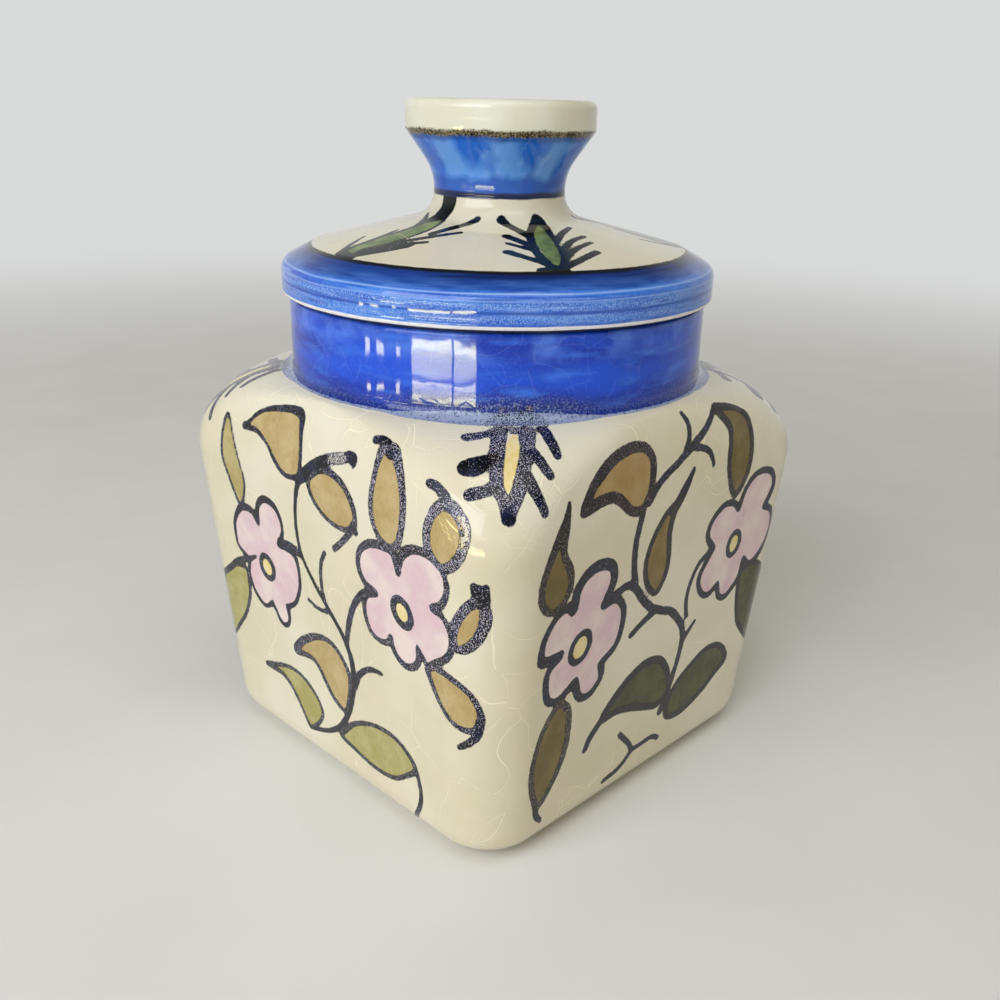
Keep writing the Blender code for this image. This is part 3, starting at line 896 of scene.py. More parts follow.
# %% Painting of the lid
long_leaf = [
    leaf(MOSS, [(-36.9, -28.5, 2.2), (-31.9, -22.4), (-24.7, -18.9), (-19.1, -15.4), (-15, -11.2),
                (-12.6, -12.6), (-15.6, -20), (-20.2, -24.2), (-26, -27.6), (-33.6, -31.8, 2.4)], 1.1),
    stem([(-37, -28.4, 3.0), (-34.4, -33.4, 3.4)]),
    stem([(-15.8, -24.4, 2.2), (-10.6, -21.8, 2.4), (-5.2, -18.9, 1.8)]),
    stem([(-24.7, -27.4, 2.0), (-17, -26.8, 2.0), (-9.1, -25.6, 1.5)]),
    stem([(-31.3, -28.9, 2.4), (-24, -29.4, 2.2), (-16.9, -30, 1.6)]),
    stem([(-32.4, -30.6, 2.8), (-26.4, -30.8, 2.6), (-20.4, -30.9, 1.8)]),
    stem([(-33, -32.2, 3.0), (-27, -32.2, 2.6), (-21.3, -31.7, 1.6)]),
    stem([(-37.4, -27.8, 1.6), (-35.4, -22, 1.5), (-33, -16.7, 1.0)]),
    stem([(-30.8, -22.2, 1.6), (-27.8, -19.6, 1.3), (-24.7, -16.7, 1.0)]),
    stem([(-19.7, -15.6, 2.0), (-18.6, -11.8, 1.6), (-18, -7.8, 1.0)]),
    stem([(-16.3, -13.3, 4.2), (-13.6, -13, 4.6), (-12, -11.4, 5.0)]),
]
short_leaf = [
    stem([(10.4, -47, 4.0), (15.6, -47, 4.0)]),
    stem([(13.2, -46, 3.8), (10.2, -41, 2.6), (8.2, -34, 2.2), (7.6, -27, 2.4), (8.6, -21, 3.2),
          (9.6, -17.4, 3.4)]),
    stem([(13.8, -46, 3.8), (14.8, -40, 2.2), (13.8, -33, 1.8), (12.6, -26, 1.8), (11, -20, 2.8),
          (9.8, -17.4, 3.4)]),
    stem([(7.6, -28, 2.6), (4, -23.4, 2.4), (0.6, -19.6, 2.4)]),
    stem([(8.4, -34, 2.4), (5, -30.8, 2.4), (1.8, -28.2, 2.4)]),
    stem([(9, -36.4, 1.6), (5.2, -34.2, 1.6), (2, -32.4, 1.4)]),
    stem([(11, -43, 2.6), (6.4, -40.2, 2.2), (2.2, -37.6, 2.6)]),
    stem([(13.4, -30, 1.8), (15.2, -22.6, 1.8), (17.4, -17, 1.4)]),
    stem([(14.6, -35, 2.0), (17, -27.6, 1.8), (20.6, -21.6, 1.4)]),
    stem([(15, -39, 2.2), (18.2, -31.6, 1.8), (22, -25.4, 1.4)]),
    stem([(14.4, -44.6, 2.6), (18.6, -38.6, 2.2), (23, -31.6, 2.2)]),
    slit("leaf", [(13, -42.6, 1.4), (12.4, -38, 3.4), (11, -31, 4.2), (10, -25, 3.2),
                  (9.8, -20.6, 1.2)], 0.95),
]


def turned_marks(marks, angle):
    """The same marks, turned round the lid's axis."""
    copies = []
    for mark in marks:
        line = mark["line"].copy()
        x, y = line[:, 0].copy(), line[:, 1].copy()
        line[:, 0] = x * cos(angle) - y * sin(angle)
        line[:, 1] = x * sin(angle) + y * cos(angle)
        copies.append({**mark, "line": line})
    return copies


TURNED_COPIES = ((long_leaf, 138), (short_leaf, 144), (long_leaf, -76))
lid_marks = long_leaf + short_leaf
for marks, angle in TURNED_COPIES:
    lid_marks = lid_marks + turned_marks(marks, radians(angle))
print("marks on the lid:", len(lid_marks))

# %% [markdown]
# The lid's plan is turned so that up on it is away from the camera. Then the leaves are laid
# on the points of the dome, as the gardens were on the body.

# %% Lay the leaves on the lid
lid_points = np.array([vert.co for vert in cover_mesh.vertices]) / MM
plan = np.stack([
    lid_points[:, 0] * cos(-CAMERA_BEARING) - lid_points[:, 1] * sin(-CAMERA_BEARING),
    lid_points[:, 0] * sin(-CAMERA_BEARING) + lid_points[:, 1] * cos(-CAMERA_BEARING),
], axis=1)
on_dome = np.flatnonzero(lid_points[:, 2] > SEAT + RIM_HEIGHT)
cover_coats = blank_coats(len(lid_points))
lay_paint(cover_coats, on_dome, plan[on_dome], lid_marks)
store(cover_mesh, cover_coats)
lid_cover = finish_piece("lid_cover_painted", cover_mesh, "lid", "lid_cover")

# %% [markdown]
# The knob was formed alone and stuck on with slip, which is watery clay. A thin skirt of glaze
# runs over the joint, so from outside the lid and its knob look like one piece.

# %% The knob
KNOB_FOOT = knob_low[2]
KNOB_FLARE = 13.0
KNOB_FLARE_ANGLE = radians(36)
KNOB_EDGE = 2.2
KNOB_DISH = 1.5
DISH_STEPS = 8
BAND_ROUND = 0.7
KNOB_TURNS = 128
SKIRT_DROP = 0.8
SKIRT = 0.12


def knob_profile():
    """The knob from the middle of its dish down to the joint, and the height where its band starts."""
    flare = arc(WAIST_RADIUS + KNOB_FLARE, KNOB_FOOT, KNOB_FLARE, pi - KNOB_FLARE_ANGLE, pi, 10)
    flare_radius, flare_height = flare[0]
    band_foot = flare_height + (KNOB_RADIUS - flare_radius) / tan(KNOB_FLARE_ANGLE)
    edge_centre = KNOB_RADIUS - KNOB_EDGE
    dish_radius = edge_centre - KNOB_EDGE
    shares = [step / DISH_STEPS for step in range(DISH_STEPS + 1)]
    dish = [(dish_radius * share, KNOB_TOP - KNOB_DISH * (1 - share ** 2)) for share in shares]
    edge = arc(edge_centre, KNOB_TOP - KNOB_EDGE, KNOB_EDGE, pi / 2, 0, 8)
    foot = arc(KNOB_RADIUS - BAND_ROUND, band_foot + BAND_ROUND / 2, BAND_ROUND, 0, -radians(54), 4)
    skirt = [(WAIST_RADIUS + SKIRT, KNOB_FOOT - SKIRT_DROP * 0.7), (WAIST_RADIUS, KNOB_FOOT - SKIRT_DROP)]
    slope = divided([foot[-1], flare[0]], 1.5)[1:-1]
    return dish + edge + foot + slope + flare + skirt + [(0.0, KNOB_FOOT - SKIRT_DROP)], band_foot


knob_line, band_foot = knob_profile()
knob_mesh = turned("lid_knob_painted", knob_line, KNOB_TURNS)
lid_knob = finish_piece("lid_knob_painted", knob_mesh, "lid", "lid_knob")
print("the cream band starts at", round(band_foot, 2), "mm")

# %% [markdown]
# Two helpers serve every finish. One turns a colour written as on a colour card into the
# straight light values that Blender mixes. The other adds one node of any kind. It fills the
# node's sockets in their order or by their names, takes a colour as it is on the card, and sets
# the stops of a colour ramp.

# %% Colour and node helpers
def colour(code):
    """Straight light values of a colour card's colour, by the standard sRGB curve."""
    parts = [int(code[k:k + 2], 16) / 255 for k in (1, 3, 5)]
    return (*[p / 12.92 if p <= 0.04045 else ((p + 0.055) / 1.055) ** 2.4 for p in parts], 1.0)


def add(tree, kind, sockets=(), out=None, stops=(), **settings):
    """Adds a node, sets it, fills its shown sockets in order or by name, and returns an output."""
    node = tree.nodes.new("ShaderNode" + kind)
    for name, value in settings.items():
        setattr(node, name, value)
    if stops:
        for position, _ in stops[1:-1]:
            node.color_ramp.elements.new(position)
        for stop, (_, code) in zip(node.color_ramp.elements, stops):
            stop.color = colour(code)
    shown = [socket for socket in node.inputs if socket.enabled]
    for key, value in sockets.items() if isinstance(sockets, dict) else enumerate(sockets):
        socket = shown[key] if isinstance(key, int) else next(s for s in shown if s.name == key)
        if isinstance(value, bpy.types.NodeSocket):
            tree.links.new(value, socket)
        else:
            socket.default_value = colour(value) if isinstance(value, str) else value
    if not node.outputs:
        return node
    return node.outputs[out] if out else next(socket for socket in node.outputs if socket.enabled)


def new_finish(name):
    """A material, its nodes, and the place on the piece that every pattern is drawn from."""
    finish = bpy.data.materials.new(name)
    finish.use_nodes = True
    finish.node_tree.nodes.clear()
    return finish, finish.node_tree, add(finish.node_tree, "TexCoord", out="Object")


print("ochre as light:", [round(part, 3) for part in colour("#CBB27A")])

# %% [markdown]
# A few ideas come back on every piece. Colour is cloudy, because glaze and thin paint gather
# and part as they melt. Coats lie one over another, as they were painted. The edge of a coat is
# a little soft and wanders, because a wet brush left it. Sizes are the real ones, in mm.

# %% Cloudy colour, coats of paint and their edges
def scale(size_mm):
    """Texture scale that gives a pattern of this size in mm."""
    return 1000.0 / size_mm


def cloud(tree, place, size, low=0.35, high=0.65, detail=3.0, share=1.0):
    """A soft pattern of a size in mm, stretched so that it runs from 0 to a share."""
    noise = add(tree, "TexNoise", {"Vector": place, "Scale": scale(size), "Detail": detail})
    return add(tree, "MapRange", {"Value": noise, "From Min": low, "From Max": high, "To Max": share})


def coated(tree, ground, *coats):
    """Lays several coats over a ground, one after another. Each coat is (share, colour)."""
    for share, coat in coats:
        ground = add(tree, "Mix", (share, ground, coat), data_type="RGBA")
    return ground


def wandering(tree, place, distance, size, reach):
    """A distance in mm, pushed to and fro by up to reach, in waves of a size."""
    noise = add(tree, "TexNoise", {"Vector": place, "Scale": scale(size), "Detail": 2.0})
    push = add(tree, "Math", (noise, reach * 2, -reach), operation="MULTIPLY_ADD")
    return add(tree, "Math", (distance, push), operation="ADD")


def laid_to(tree, place, distance, edge, soft, size, reach, share=1.0):
    """A share below a wandering edge and 0 above it. A negative softness turns the sides round."""
    near = wandering(tree, place, distance, size, reach)
    return add(tree, "MapRange", {"Value": near, "From Min": edge + soft, "From Max": edge - soft,
                                  "To Max": share})


print("a cloud of 38 mm has texture scale", round(scale(38), 1))

# %% [markdown]
# The clear glaze shrank more than the clay as it cooled, so it crazed: hair-thin cracks meet
# like the edges of cells, waver, and come and go. A real one is a few hundredths of a
# millimetre wide. That is too fine to show, so they are drawn about a tenth wide.

# %% Crazing, and where a place is on the ware
CRACK_SWAY = 24
CRACK_BEND = 0.022


def crazing(tree, place, cell, width, least=0.46, most=0.56):
    """1 along cracks of a width that part cells of a size, both in mm."""
    sway = add(tree, "TexNoise", {"Vector": place, "Scale": scale(CRACK_SWAY), "Detail": 1.0},
               out="Color")
    bent = add(tree, "VectorMath", (sway, (CRACK_BEND,) * 3, place), operation="MULTIPLY_ADD")
    edges = add(tree, "TexVoronoi", {"Vector": bent, "Scale": scale(cell)}, feature="DISTANCE_TO_EDGE")
    thin = width / cell
    line = add(tree, "MapRange", {"Value": edges, "From Min": thin * 1.5, "From Max": thin * 0.5})
    stretches = cloud(tree, place, cell * 2, least, most, 1.0)
    return add(tree, "Math", (line, stretches), operation="MULTIPLY")


def height_mm(tree, place):
    upright = add(tree, "SeparateXYZ", (place,), out="Z")
    return add(tree, "Math", (upright, 1000.0), operation="MULTIPLY")


def axis_distance_mm(tree, place):
    flat = add(tree, "VectorMath", (place, (1000.0, 1000.0, 0.0)), operation="MULTIPLY")
    return add(tree, "VectorMath", (flat,), out="Value", operation="LENGTH")


print("the cracks waver by up to", round(CRACK_BEND / MM / 2), "mm")

# %% [markdown]
# The body is buff earthenware, slip-cast, covered with a cream glaze, painted, and fired once
# more. The eye sees a soft cream ground that is warmer in broad clouds. On it lie flat, watery
# washes, paler in the middle of a leaf, and each leaf's tone picks its colour from a ramp.

# %% Ground and washes
LEAF_TONES = ((0.0, "#B8A067"), (0.25, "#A8A05C"), (0.5, "#A5864C"), (0.75, "#6A5821"), (1.0, "#3A3E12"))
THIN_TONES = ((0.0, "#C9B485"), (0.25, "#BAB47C"), (0.5, "#B49C68"), (0.75, "#83703B"), (1.0, "#535525"))
WASH_SWAY = 0.25


def cream_ground(tree, place):
    return coated(tree, "#E6E1CA",
                  (cloud(tree, place, 38, 0.38, 0.62), "#DDD5B6"),
                  (cloud(tree, place, 21, 0.50, 0.68, 1.0, share=0.5), "#E5D8BF"),
                  (cloud(tree, place, 3.5, 0.5, 0.8, share=0.2), "#E9E2C9"))


def leaf_wash(tree, place):
    """The wash's own colour for each leaf, mottled as thin paint dries, with a few specks."""
    tone = add(tree, "Attribute", out="Fac", attribute_name="tone")
    upward = add(tree, "VectorMath", (place, (1.0, 1.0, 0.45)), operation="MULTIPLY")
    return coated(tree, add(tree, "ValToRGB", (tone,), stops=LEAF_TONES),
                  (cloud(tree, place, 6.0, 0.40, 0.66, share=0.75),
                   add(tree, "ValToRGB", (tone,), stops=THIN_TONES)),
                  (cloud(tree, upward, 0.7, 0.52, 0.66, 2.0, share=0.15), "#7D6738"))


def petal_wash(tree, place):
    return coated(tree, "#EAD9D2",
                  (cloud(tree, place, 9.0, 0.38, 0.60), "#E0C2C8"),
                  (cloud(tree, place, 2.2, 0.5, 0.75, share=0.3), "#E7DACF"))


def heart_wash(tree, place):
    thin = cloud(tree, place, 2.6, 0.4, 0.6)
    return add(tree, "Mix", (thin, "#EAD48C", "#EDDDA6"), data_type="RGBA")


def with_washes(tree, place, ground):
    """Leaf, petal and heart colours laid over the ground, each inside its own edge."""
    coats = []
    for name, wash in (("leaf", leaf_wash), ("petal", petal_wash), ("heart", heart_wash)):
        distance = add(tree, "Attribute", out="Fac", attribute_name=name)
        inside = laid_to(tree, place, distance, edge=0.0, soft=0.25, size=1.6, reach=WASH_SWAY)
        coats.append((inside, wash(tree, place)))
    return coated(tree, ground, *coats)


print("leaf tones", len(LEAF_TONES), "with their thin shades", len(THIN_TONES))

# %% [markdown]
# The brush line is cobalt with manganese: near black where it is thick, and elsewhere broken
# into pale grains, because the pigment drew together as the glaze boiled. The real grains are
# finer than a pixel in places, so they are drawn as coarse as they need to be to show. Where
# Where the brush ran thin, what lies under the line shows in place of the grains. Where the load
# is below zero, the line is painted near white, as a highlight of the glaze.

# %% The granulated brush line
GRAIN = 0.29
GRAIN_SOFT = 0.035
GRAINS_INSIDE = 0.24
PALE_FROM = 0.475
PALE_PER_LOAD = 0.25
THIN_FROM, THIN_ALL = 0.12, -0.05
# loads at which the near-white painted highlight starts and is whole
GLINT_FROM, GLINT_ALL = -0.2, -0.6
DEEP_TONES = ((0.0, "#06060F"), (0.3, "#08080F"), (0.5, "#110B07"), (0.8, "#100C08"), (1.0, "#08090A"))
RICH_TONES = ((0.0, "#151B3A"), (0.3, "#161930"), (0.5, "#35262A"), (0.8, "#2B2019"), (1.0, "#191D20"))
GRAIN_TONES = ((0.0, "#B4B0C0"), (0.3, "#B0ACB5"), (0.5, "#8E7A74"), (0.8, "#927F6C"), (1.0, "#7D7A70"))


def ink_colour(tree, place, distance, under):
    """Dark pigment with pale grains; thin load shows what lies under it; below zero, a painted highlight.
    """
    tone = add(tree, "Attribute", out="Fac", attribute_name="tone")
    load = add(tree, "Attribute", out="Fac", attribute_name="load")
    deep, rich, grain = (add(tree, "ValToRGB", (tone,), stops=tones)
                         for tones in (DEEP_TONES, RICH_TONES, GRAIN_TONES))
    limit = add(tree, "Math", (load, PALE_PER_LOAD, PALE_FROM), operation="MULTIPLY_ADD")
    grains = add(tree, "TexNoise", {"Vector": place, "Scale": scale(GRAIN), "Detail": 1.0})
    over = add(tree, "Math", (grains, limit), operation="SUBTRACT")
    pale = add(tree, "MapRange", {"Value": over, "From Max": GRAIN_SOFT})
    thin = add(tree, "MapRange", {"Value": load, "From Min": THIN_FROM, "From Max": THIN_ALL})
    # painted highlight: a load below zero turns the line near white
    bare = add(tree, "MapRange", {"Value": load, "From Min": GLINT_FROM, "From Max": GLINT_ALL})
    off_edge = add(tree, "MapRange", {"Value": distance, "From Min": 0.0, "From Max": -GRAINS_INSIDE})
    inner = add(tree, "Math", (off_edge, thin), operation="MAXIMUM")
    light = coated(tree, grain,
                   (cloud(tree, place, 1.8, 0.45, 0.6, share=0.4), "#C2B5A6"),
                   (thin, under),
                   # the near-white painted highlight
                   (bare, "#E2DFE3"))
    return coated(tree, deep,
                  (cloud(tree, place, 3.5, 0.42, 0.64), rich),
                  (add(tree, "Math", (pale, inner), operation="MULTIPLY"), light))


def ink_cover(tree, place, distance):
    ragged = wandering(tree, place, distance, size=1.3, reach=0.22)
    return laid_to(tree, place, ragged, edge=0.0, soft=0.12, size=0.35, reach=0.13)


print("the brush line's grains are", GRAIN, "mm apart")

# %% [markdown]
# Cobalt blue bands the neck. It was laid on thickly with a wide brush while the jar turned, so
# its three blues run along the band in streaks, and patches near the top are lit and thin.
# Where it pooled at its foot it is dark, with pale grains like salt.

# %% Brushed and salted cobalt
NECK_BLUES = ("#1135AE", "#1A50D6", "#3C7CF0")
LIT_FROM = NECK_TOP - 6.0
POOL_HEIGHT = 3.4
POOL_DARK = 0.85


def brushed_cobalt(tree, place, blues, stretch=5.0):
    """Three blues, deep, middle and pale, that run along the band in streaks."""
    deep, middle, pale = blues
    along = add(tree, "VectorMath", (place, (1.0, 1.0, stretch)), operation="MULTIPLY")
    return coated(tree, middle,
                  (cloud(tree, along, 26, 0.40, 0.60, 5.0), deep),
                  (cloud(tree, along, 13, 0.50, 0.72, 5.0, share=0.75), pale),
                  (cloud(tree, place, 0.8, 0.52, 0.75, 1.0, share=0.2), pale))


def salted_cobalt(tree, place, up, over, corner):
    """Cobalt that is lit in patches at the top, and dark with pale salt where it pooled at its foot."""
    top = laid_to(tree, place, up, edge=LIT_FROM, soft=-1.5, size=14.0, reach=2.5, share=0.55)
    lit = add(tree, "Math", (top, cloud(tree, place, 9.0, 0.42, 0.62)), operation="MULTIPLY")
    low = laid_to(tree, place, over, edge=POOL_HEIGHT, soft=1.8, size=16.0, reach=2.0)
    pooled = add(tree, "Math", (corner, 0.4, 0.15), operation="MULTIPLY_ADD")
    salt = add(tree, "Math", (cloud(tree, place, 0.45, 0.52, 0.60, 2.0), low), operation="MULTIPLY")
    return coated(tree, brushed_cobalt(tree, place, NECK_BLUES),
                  (lit, "#5F8CF0"),
                  (add(tree, "Math", (low, POOL_DARK), operation="MULTIPLY"), "#18266F"),
                  (add(tree, "Math", (salt, pooled), operation="MULTIPLY"), "#A3AFDA"))


print("the cobalt pools in its lowest", POOL_HEIGHT, "mm")

# %% [markdown]
# The band's lower edge is ragged. It rides higher over the four corners, where the comb leaves
# run into it, and a thin grey wash bled out below it. So the edge is measured from the line
# where the neck grows out of the shoulder, and the finish knows how near a corner it is.

# %% Cobalt band of the neck
SHOULDER_TOP = outside[-1][2]
NECK_FOOT_RISE = SHOULDER_TOP - (NECK_RADIUS + NECK_FILLET)
PAINT_EDGE = 2.6
PAINT_EDGE_ON_CORNERS = 5.1
WASH_EDGE = 1.6
WASH_EDGE_ON_CORNERS = -0.2


def corner_share(tree, place):
    """1 over the jar's four corners and 0 over the middles of its sides."""
    flat = add(tree, "VectorMath", (place, (1.0, 1.0, 0.0)), operation="MULTIPLY")
    facing = add(tree, "VectorMath", (flat,), operation="NORMALIZE")
    east = add(tree, "SeparateXYZ", (facing,), out="X")
    north = add(tree, "SeparateXYZ", (facing,), out="Y")
    both = add(tree, "Math", (east, north), operation="MULTIPLY")
    both = add(tree, "Math", (both,), operation="ABSOLUTE")
    return add(tree, "MapRange", {"Value": both, "From Min": 0.30, "From Max": 0.49})


def past_edge(tree, rise, corner, edge, edge_on_corners):
    """How far up past an edge a place is, where the edge rides higher or lower on the corners."""
    edge_here = add(tree, "Math", (corner, edge_on_corners - edge, edge), operation="MULTIPLY_ADD")
    return add(tree, "Math", (rise, edge_here), operation="SUBTRACT")


def grey_wash(tree, place):
    return coated(tree, "#8E9BBB",
                  (cloud(tree, place, 3.0, share=0.5), "#A3ADC6"),
                  (cloud(tree, place, 0.7, 0.43, 0.37, 2.0, share=0.8), "#50567F"))


def neck_paint(tree, place, up, laid):
    """Cobalt down to a ragged edge, a grey wash that runs out below it, and then what was laid."""
    rise = add(tree, "Math", (up, axis_distance_mm(tree, place)), operation="SUBTRACT")
    rise = add(tree, "Math", (rise, NECK_FOOT_RISE), operation="SUBTRACT")
    corner = corner_share(tree, place)
    wash_over = past_edge(tree, rise, corner, WASH_EDGE, WASH_EDGE_ON_CORNERS)
    unwashed = laid_to(tree, place, wash_over, edge=0.0, soft=0.15, size=6.0, reach=0.35)
    over = past_edge(tree, rise, corner, PAINT_EDGE, PAINT_EDGE_ON_CORNERS)
    ragged = wandering(tree, place, over, size=7.0, reach=0.5)
    unpainted = laid_to(tree, place, ragged, edge=0.0, soft=0.15, size=0.6, reach=0.45)
    below = add(tree, "Mix", (unwashed, grey_wash(tree, place), laid), data_type="RGBA")
    cobalt = salted_cobalt(tree, place, up, over, corner)
    return add(tree, "Mix", (unpainted, cobalt, below), data_type="RGBA")


print("the shoulder ends at", round(SHOULDER_TOP, 2), "mm and the band starts just above")

# %% [markdown]
# All of it is under clear glaze, which is glossy and lies in soft ripples, so a window's
# reflection in it bends. Where it was wiped off before firing, dry clay with a fine grit shows.

# %% Clear glaze and bare clay
RIPPLE = 0.013
RIPPLE_SIZE = 9.0
GLAZE_IOR = 1.42
GLOSS = 0.045
DRY_CLAY = 0.85
CRACK_DEPTH = 0.06


def surface(tree, place, base, roughness, relief):
    """Ends a finish: ripples of the glaze and the given relief, in mm, under one glossy shader."""
    ripple = add(tree, "TexNoise", {"Vector": place, "Scale": scale(RIPPLE_SIZE), "Detail": 1.5})
    total = add(tree, "Math", (ripple, RIPPLE * 4, relief), operation="MULTIPLY_ADD")
    normal = add(tree, "Bump", {"Height": total, "Distance": MM, "Strength": 1.0})
    shader = add(tree, "BsdfPrincipled", {"Base Color": base, "Roughness": roughness,
                                          "IOR": GLAZE_IOR, "Normal": normal})
    add(tree, "OutputMaterial", {"Surface": shader})


def bare_clay(tree, place):
    gritty = cloud(tree, place, 0.9)
    return add(tree, "Mix", (gritty, "#D2BFA0", "#BFA988"), data_type="RGBA")


print("the glaze ripples every", RIPPLE_SIZE, "mm or so")

# %% [markdown]
# The body's coats are laid in the painter's order: cream ground with its crazing, washes, the
# neck's blue, and the brush line over them. Wide crazing runs all over, and a closer net of it
# covers the shoulder, where the glaze pulls over the curve.

# %% Crazing and coats of the body
WIDE_CELL, WIDE_CRACK = 17.0, 0.08
CLOSE_CELL, CLOSE_CRACK = 8.0, 0.12
CLOSE_FROM, CLOSE_ALL = 84.0, 102.0
CRACK_IN_CREAM = 0.9
CRACK_IN_BLUE = 0.06
BLUE_FROM, BLUE_ALL = 110.6, 112.0


def body_cracks(tree, place, up):
    """Wide crazing all over the body, and closer crazing where the shoulder curves."""
    shoulder = add(tree, "MapRange", {"Value": up, "From Min": CLOSE_FROM, "From Max": CLOSE_ALL})
    close = crazing(tree, place, CLOSE_CELL, CLOSE_CRACK, 0.44, 0.52)
    close = add(tree, "Math", (close, shoulder), operation="MULTIPLY")
    wide = crazing(tree, place, WIDE_CELL, WIDE_CRACK)
    return add(tree, "Math", (wide, close), operation="MAXIMUM")


def body_colour(tree, place, up, cracks, ink, cover):
    """All the coats from the ground up; no brush line crosses the neck's blue."""
    ground = cream_ground(tree, place)
    in_cream = add(tree, "Math", (cracks, CRACK_IN_CREAM), operation="MULTIPLY")
    crazed = add(tree, "Mix", (in_cream, ground, "#F6EFD2"), data_type="RGBA")
    painted = neck_paint(tree, place, up, with_washes(tree, place, crazed))
    on_blue = add(tree, "MapRange", {"Value": up, "From Min": BLUE_FROM, "From Max": BLUE_ALL})
    faint = add(tree, "Math", (on_blue, CRACK_IN_BLUE), operation="MULTIPLY")
    inside = add(tree, "Attribute", out="Fac", attribute_name="inside")
    return coated(tree, painted,
                  (cover, ink_colour(tree, place, ink, painted)),
                  (on_blue, painted),
                  (add(tree, "Math", (cracks, faint), operation="MULTIPLY"), "#BFD0F2"),
                  (inside, ground))


print("the body's cracks part cells of", WIDE_CELL, "and", CLOSE_CELL, "mm")

# %% [markdown]
# Touched with a finger, the brush line is a little raised, because its grains stand up, and
# the cracks in the cream lie open. The neck's lip and the foot ring were wiped bare, because
# the lid and the kiln shelf touch there.

# %% Painted earthenware of the body
GRAIN_HEIGHT = 0.03
LIP_FROM, LIP_ALL = NECK_TOP - 0.10, NECK_TOP - 0.04
FOOT_WIPED = 0.6


def body_relief(tree, place, up, cracks, cover):
    """The grains of the brush line stand up a little, and the cracks in the cream lie open."""
    grains = add(tree, "TexNoise", {"Vector": place, "Scale": scale(GRAIN), "Detail": 2.0})
    raised = add(tree, "Math", (cover, grains), operation="MULTIPLY")
    raised = add(tree, "Math", (raised, GRAIN_HEIGHT * 2), operation="MULTIPLY")
    on_cream = add(tree, "MapRange", {"Value": up, "From Min": BLUE_ALL, "From Max": BLUE_FROM})
    open_cracks = add(tree, "Math", (cracks, on_cream), operation="MULTIPLY")
    return add(tree, "Math", (open_cracks, -CRACK_DEPTH, raised), operation="MULTIPLY_ADD")


def body_material():
    finish, tree, place = new_finish("cream_glazed_earthenware")
    up = height_mm(tree, place)
    cracks = body_cracks(tree, place, up)
    ink = add(tree, "Attribute", out="Fac", attribute_name="ink")
    cover = ink_cover(tree, place, ink)
    glazed = body_colour(tree, place, up, cracks, ink, cover)
    lip = add(tree, "MapRange", {"Value": up, "From Min": LIP_FROM, "From Max": LIP_ALL})
    foot = laid_to(tree, place, up, edge=FOOT_WIPED, soft=0.25, size=3.0, reach=0.3)
    bare = add(tree, "Math", (lip, foot), operation="MAXIMUM")
    base = add(tree, "Mix", (bare, glazed, bare_clay(tree, place)), data_type="RGBA")
    roughness = add(tree, "MapRange", {"Value": bare, "To Min": GLOSS, "To Max": DRY_CLAY})
    surface(tree, place, base, roughness, body_relief(tree, place, up, cracks, cover))
    return finish


jar_body.data.materials.append(body_material())
print("body finish nodes", len(jar_body.data.materials[0].node_tree.nodes))

# %% [markdown]
# Round the lid's rim goes a paler cobalt than the neck's, which a fine brush left in rings as
# the lid turned. Two bands of it are granulated, with a dark line between them, and above them
# two thin pale lines of painted sheen run along the rim's rounded top. The rings are drawn by
# squeezing the pattern's height.

# %% Cobalt of the lid's rim
RIM_BLUES = ("#2558C4", "#4480DC", "#8AB4F6")
RIM_LINE = SEAT + 4.3
# heights of the two pale lines of painted sheen on the rim's rounded top, and their strength
SHEEN_LINES = ((SEAT + 6.8, 0.45), (SEAT + 8.3, 0.7))


def from_level(tree, level, height):
    """How far up or down a place is from a line round the lid, in mm."""
    offset = add(tree, "Math", (level, height), operation="SUBTRACT")
    return add(tree, "Math", (offset,), operation="ABSOLUTE")


def rim_blue(tree, place, up):
    """Streaked cobalt round the rim, two granulated bands with a dark line between, painted sheen above.
    """
    level = wandering(tree, place, up, size=30.0, reach=0.4)
    away = from_level(tree, level, RIM_LINE)
    near = add(tree, "MapRange", {"Value": away, "From Min": 2.8, "From Max": 2.0})
    off_line = add(tree, "MapRange", {"Value": away, "From Min": 0.25, "From Max": 0.65})
    bands = add(tree, "Math", (near, off_line), operation="MULTIPLY")
    salt = cloud(tree, place, 0.34, 0.46, 0.60, 1.0, share=0.5)
    rings = add(tree, "VectorMath", (place, (0.12, 0.12, 3.0)), operation="MULTIPLY")
    coats = [(add(tree, "Math", (salt, bands), operation="MULTIPLY"), "#A4C4F2"),
             (cloud(tree, rings, 2.0, 0.45, 0.35, 3.0, share=0.45), "#2148A6")]
    # two thin lines of painted sheen, pale blue
    for height, share in SHEEN_LINES:
        off = from_level(tree, level, height)
        painted_sheen = add(tree, "MapRange", {"Value": off, "From Min": 0.28, "From Max": 0.04, "To Max": share})
        coats.append((painted_sheen, "#9CBEF2"))
    line = add(tree, "MapRange", {"Value": away, "From Min": 0.34, "From Max": 0.10, "To Max": 0.7})
    return coated(tree, brushed_cobalt(tree, place, RIM_BLUES, 14.0), *coats, (line, "#2347A0"))


print("the rim's dark line is", round(RIM_LINE - SEAT, 1), "mm over the seat")

# %% [markdown]
# The lid's dome has the cream ground again, with green feathers outlined in black. A dark line
# closes it off, and a navy slope that lifts to a lighter blue leads down to the rim.

# %% Dome and slope of the lid
DOME_LINE = 48.2
DOME_LINE_WIDTH = 1.2
SLOPE_LIFTS, SLOPE_LIFTED = 50.6, 54.0
SLOPE_END = 54.6
CRACK_ON_DOME = 0.5


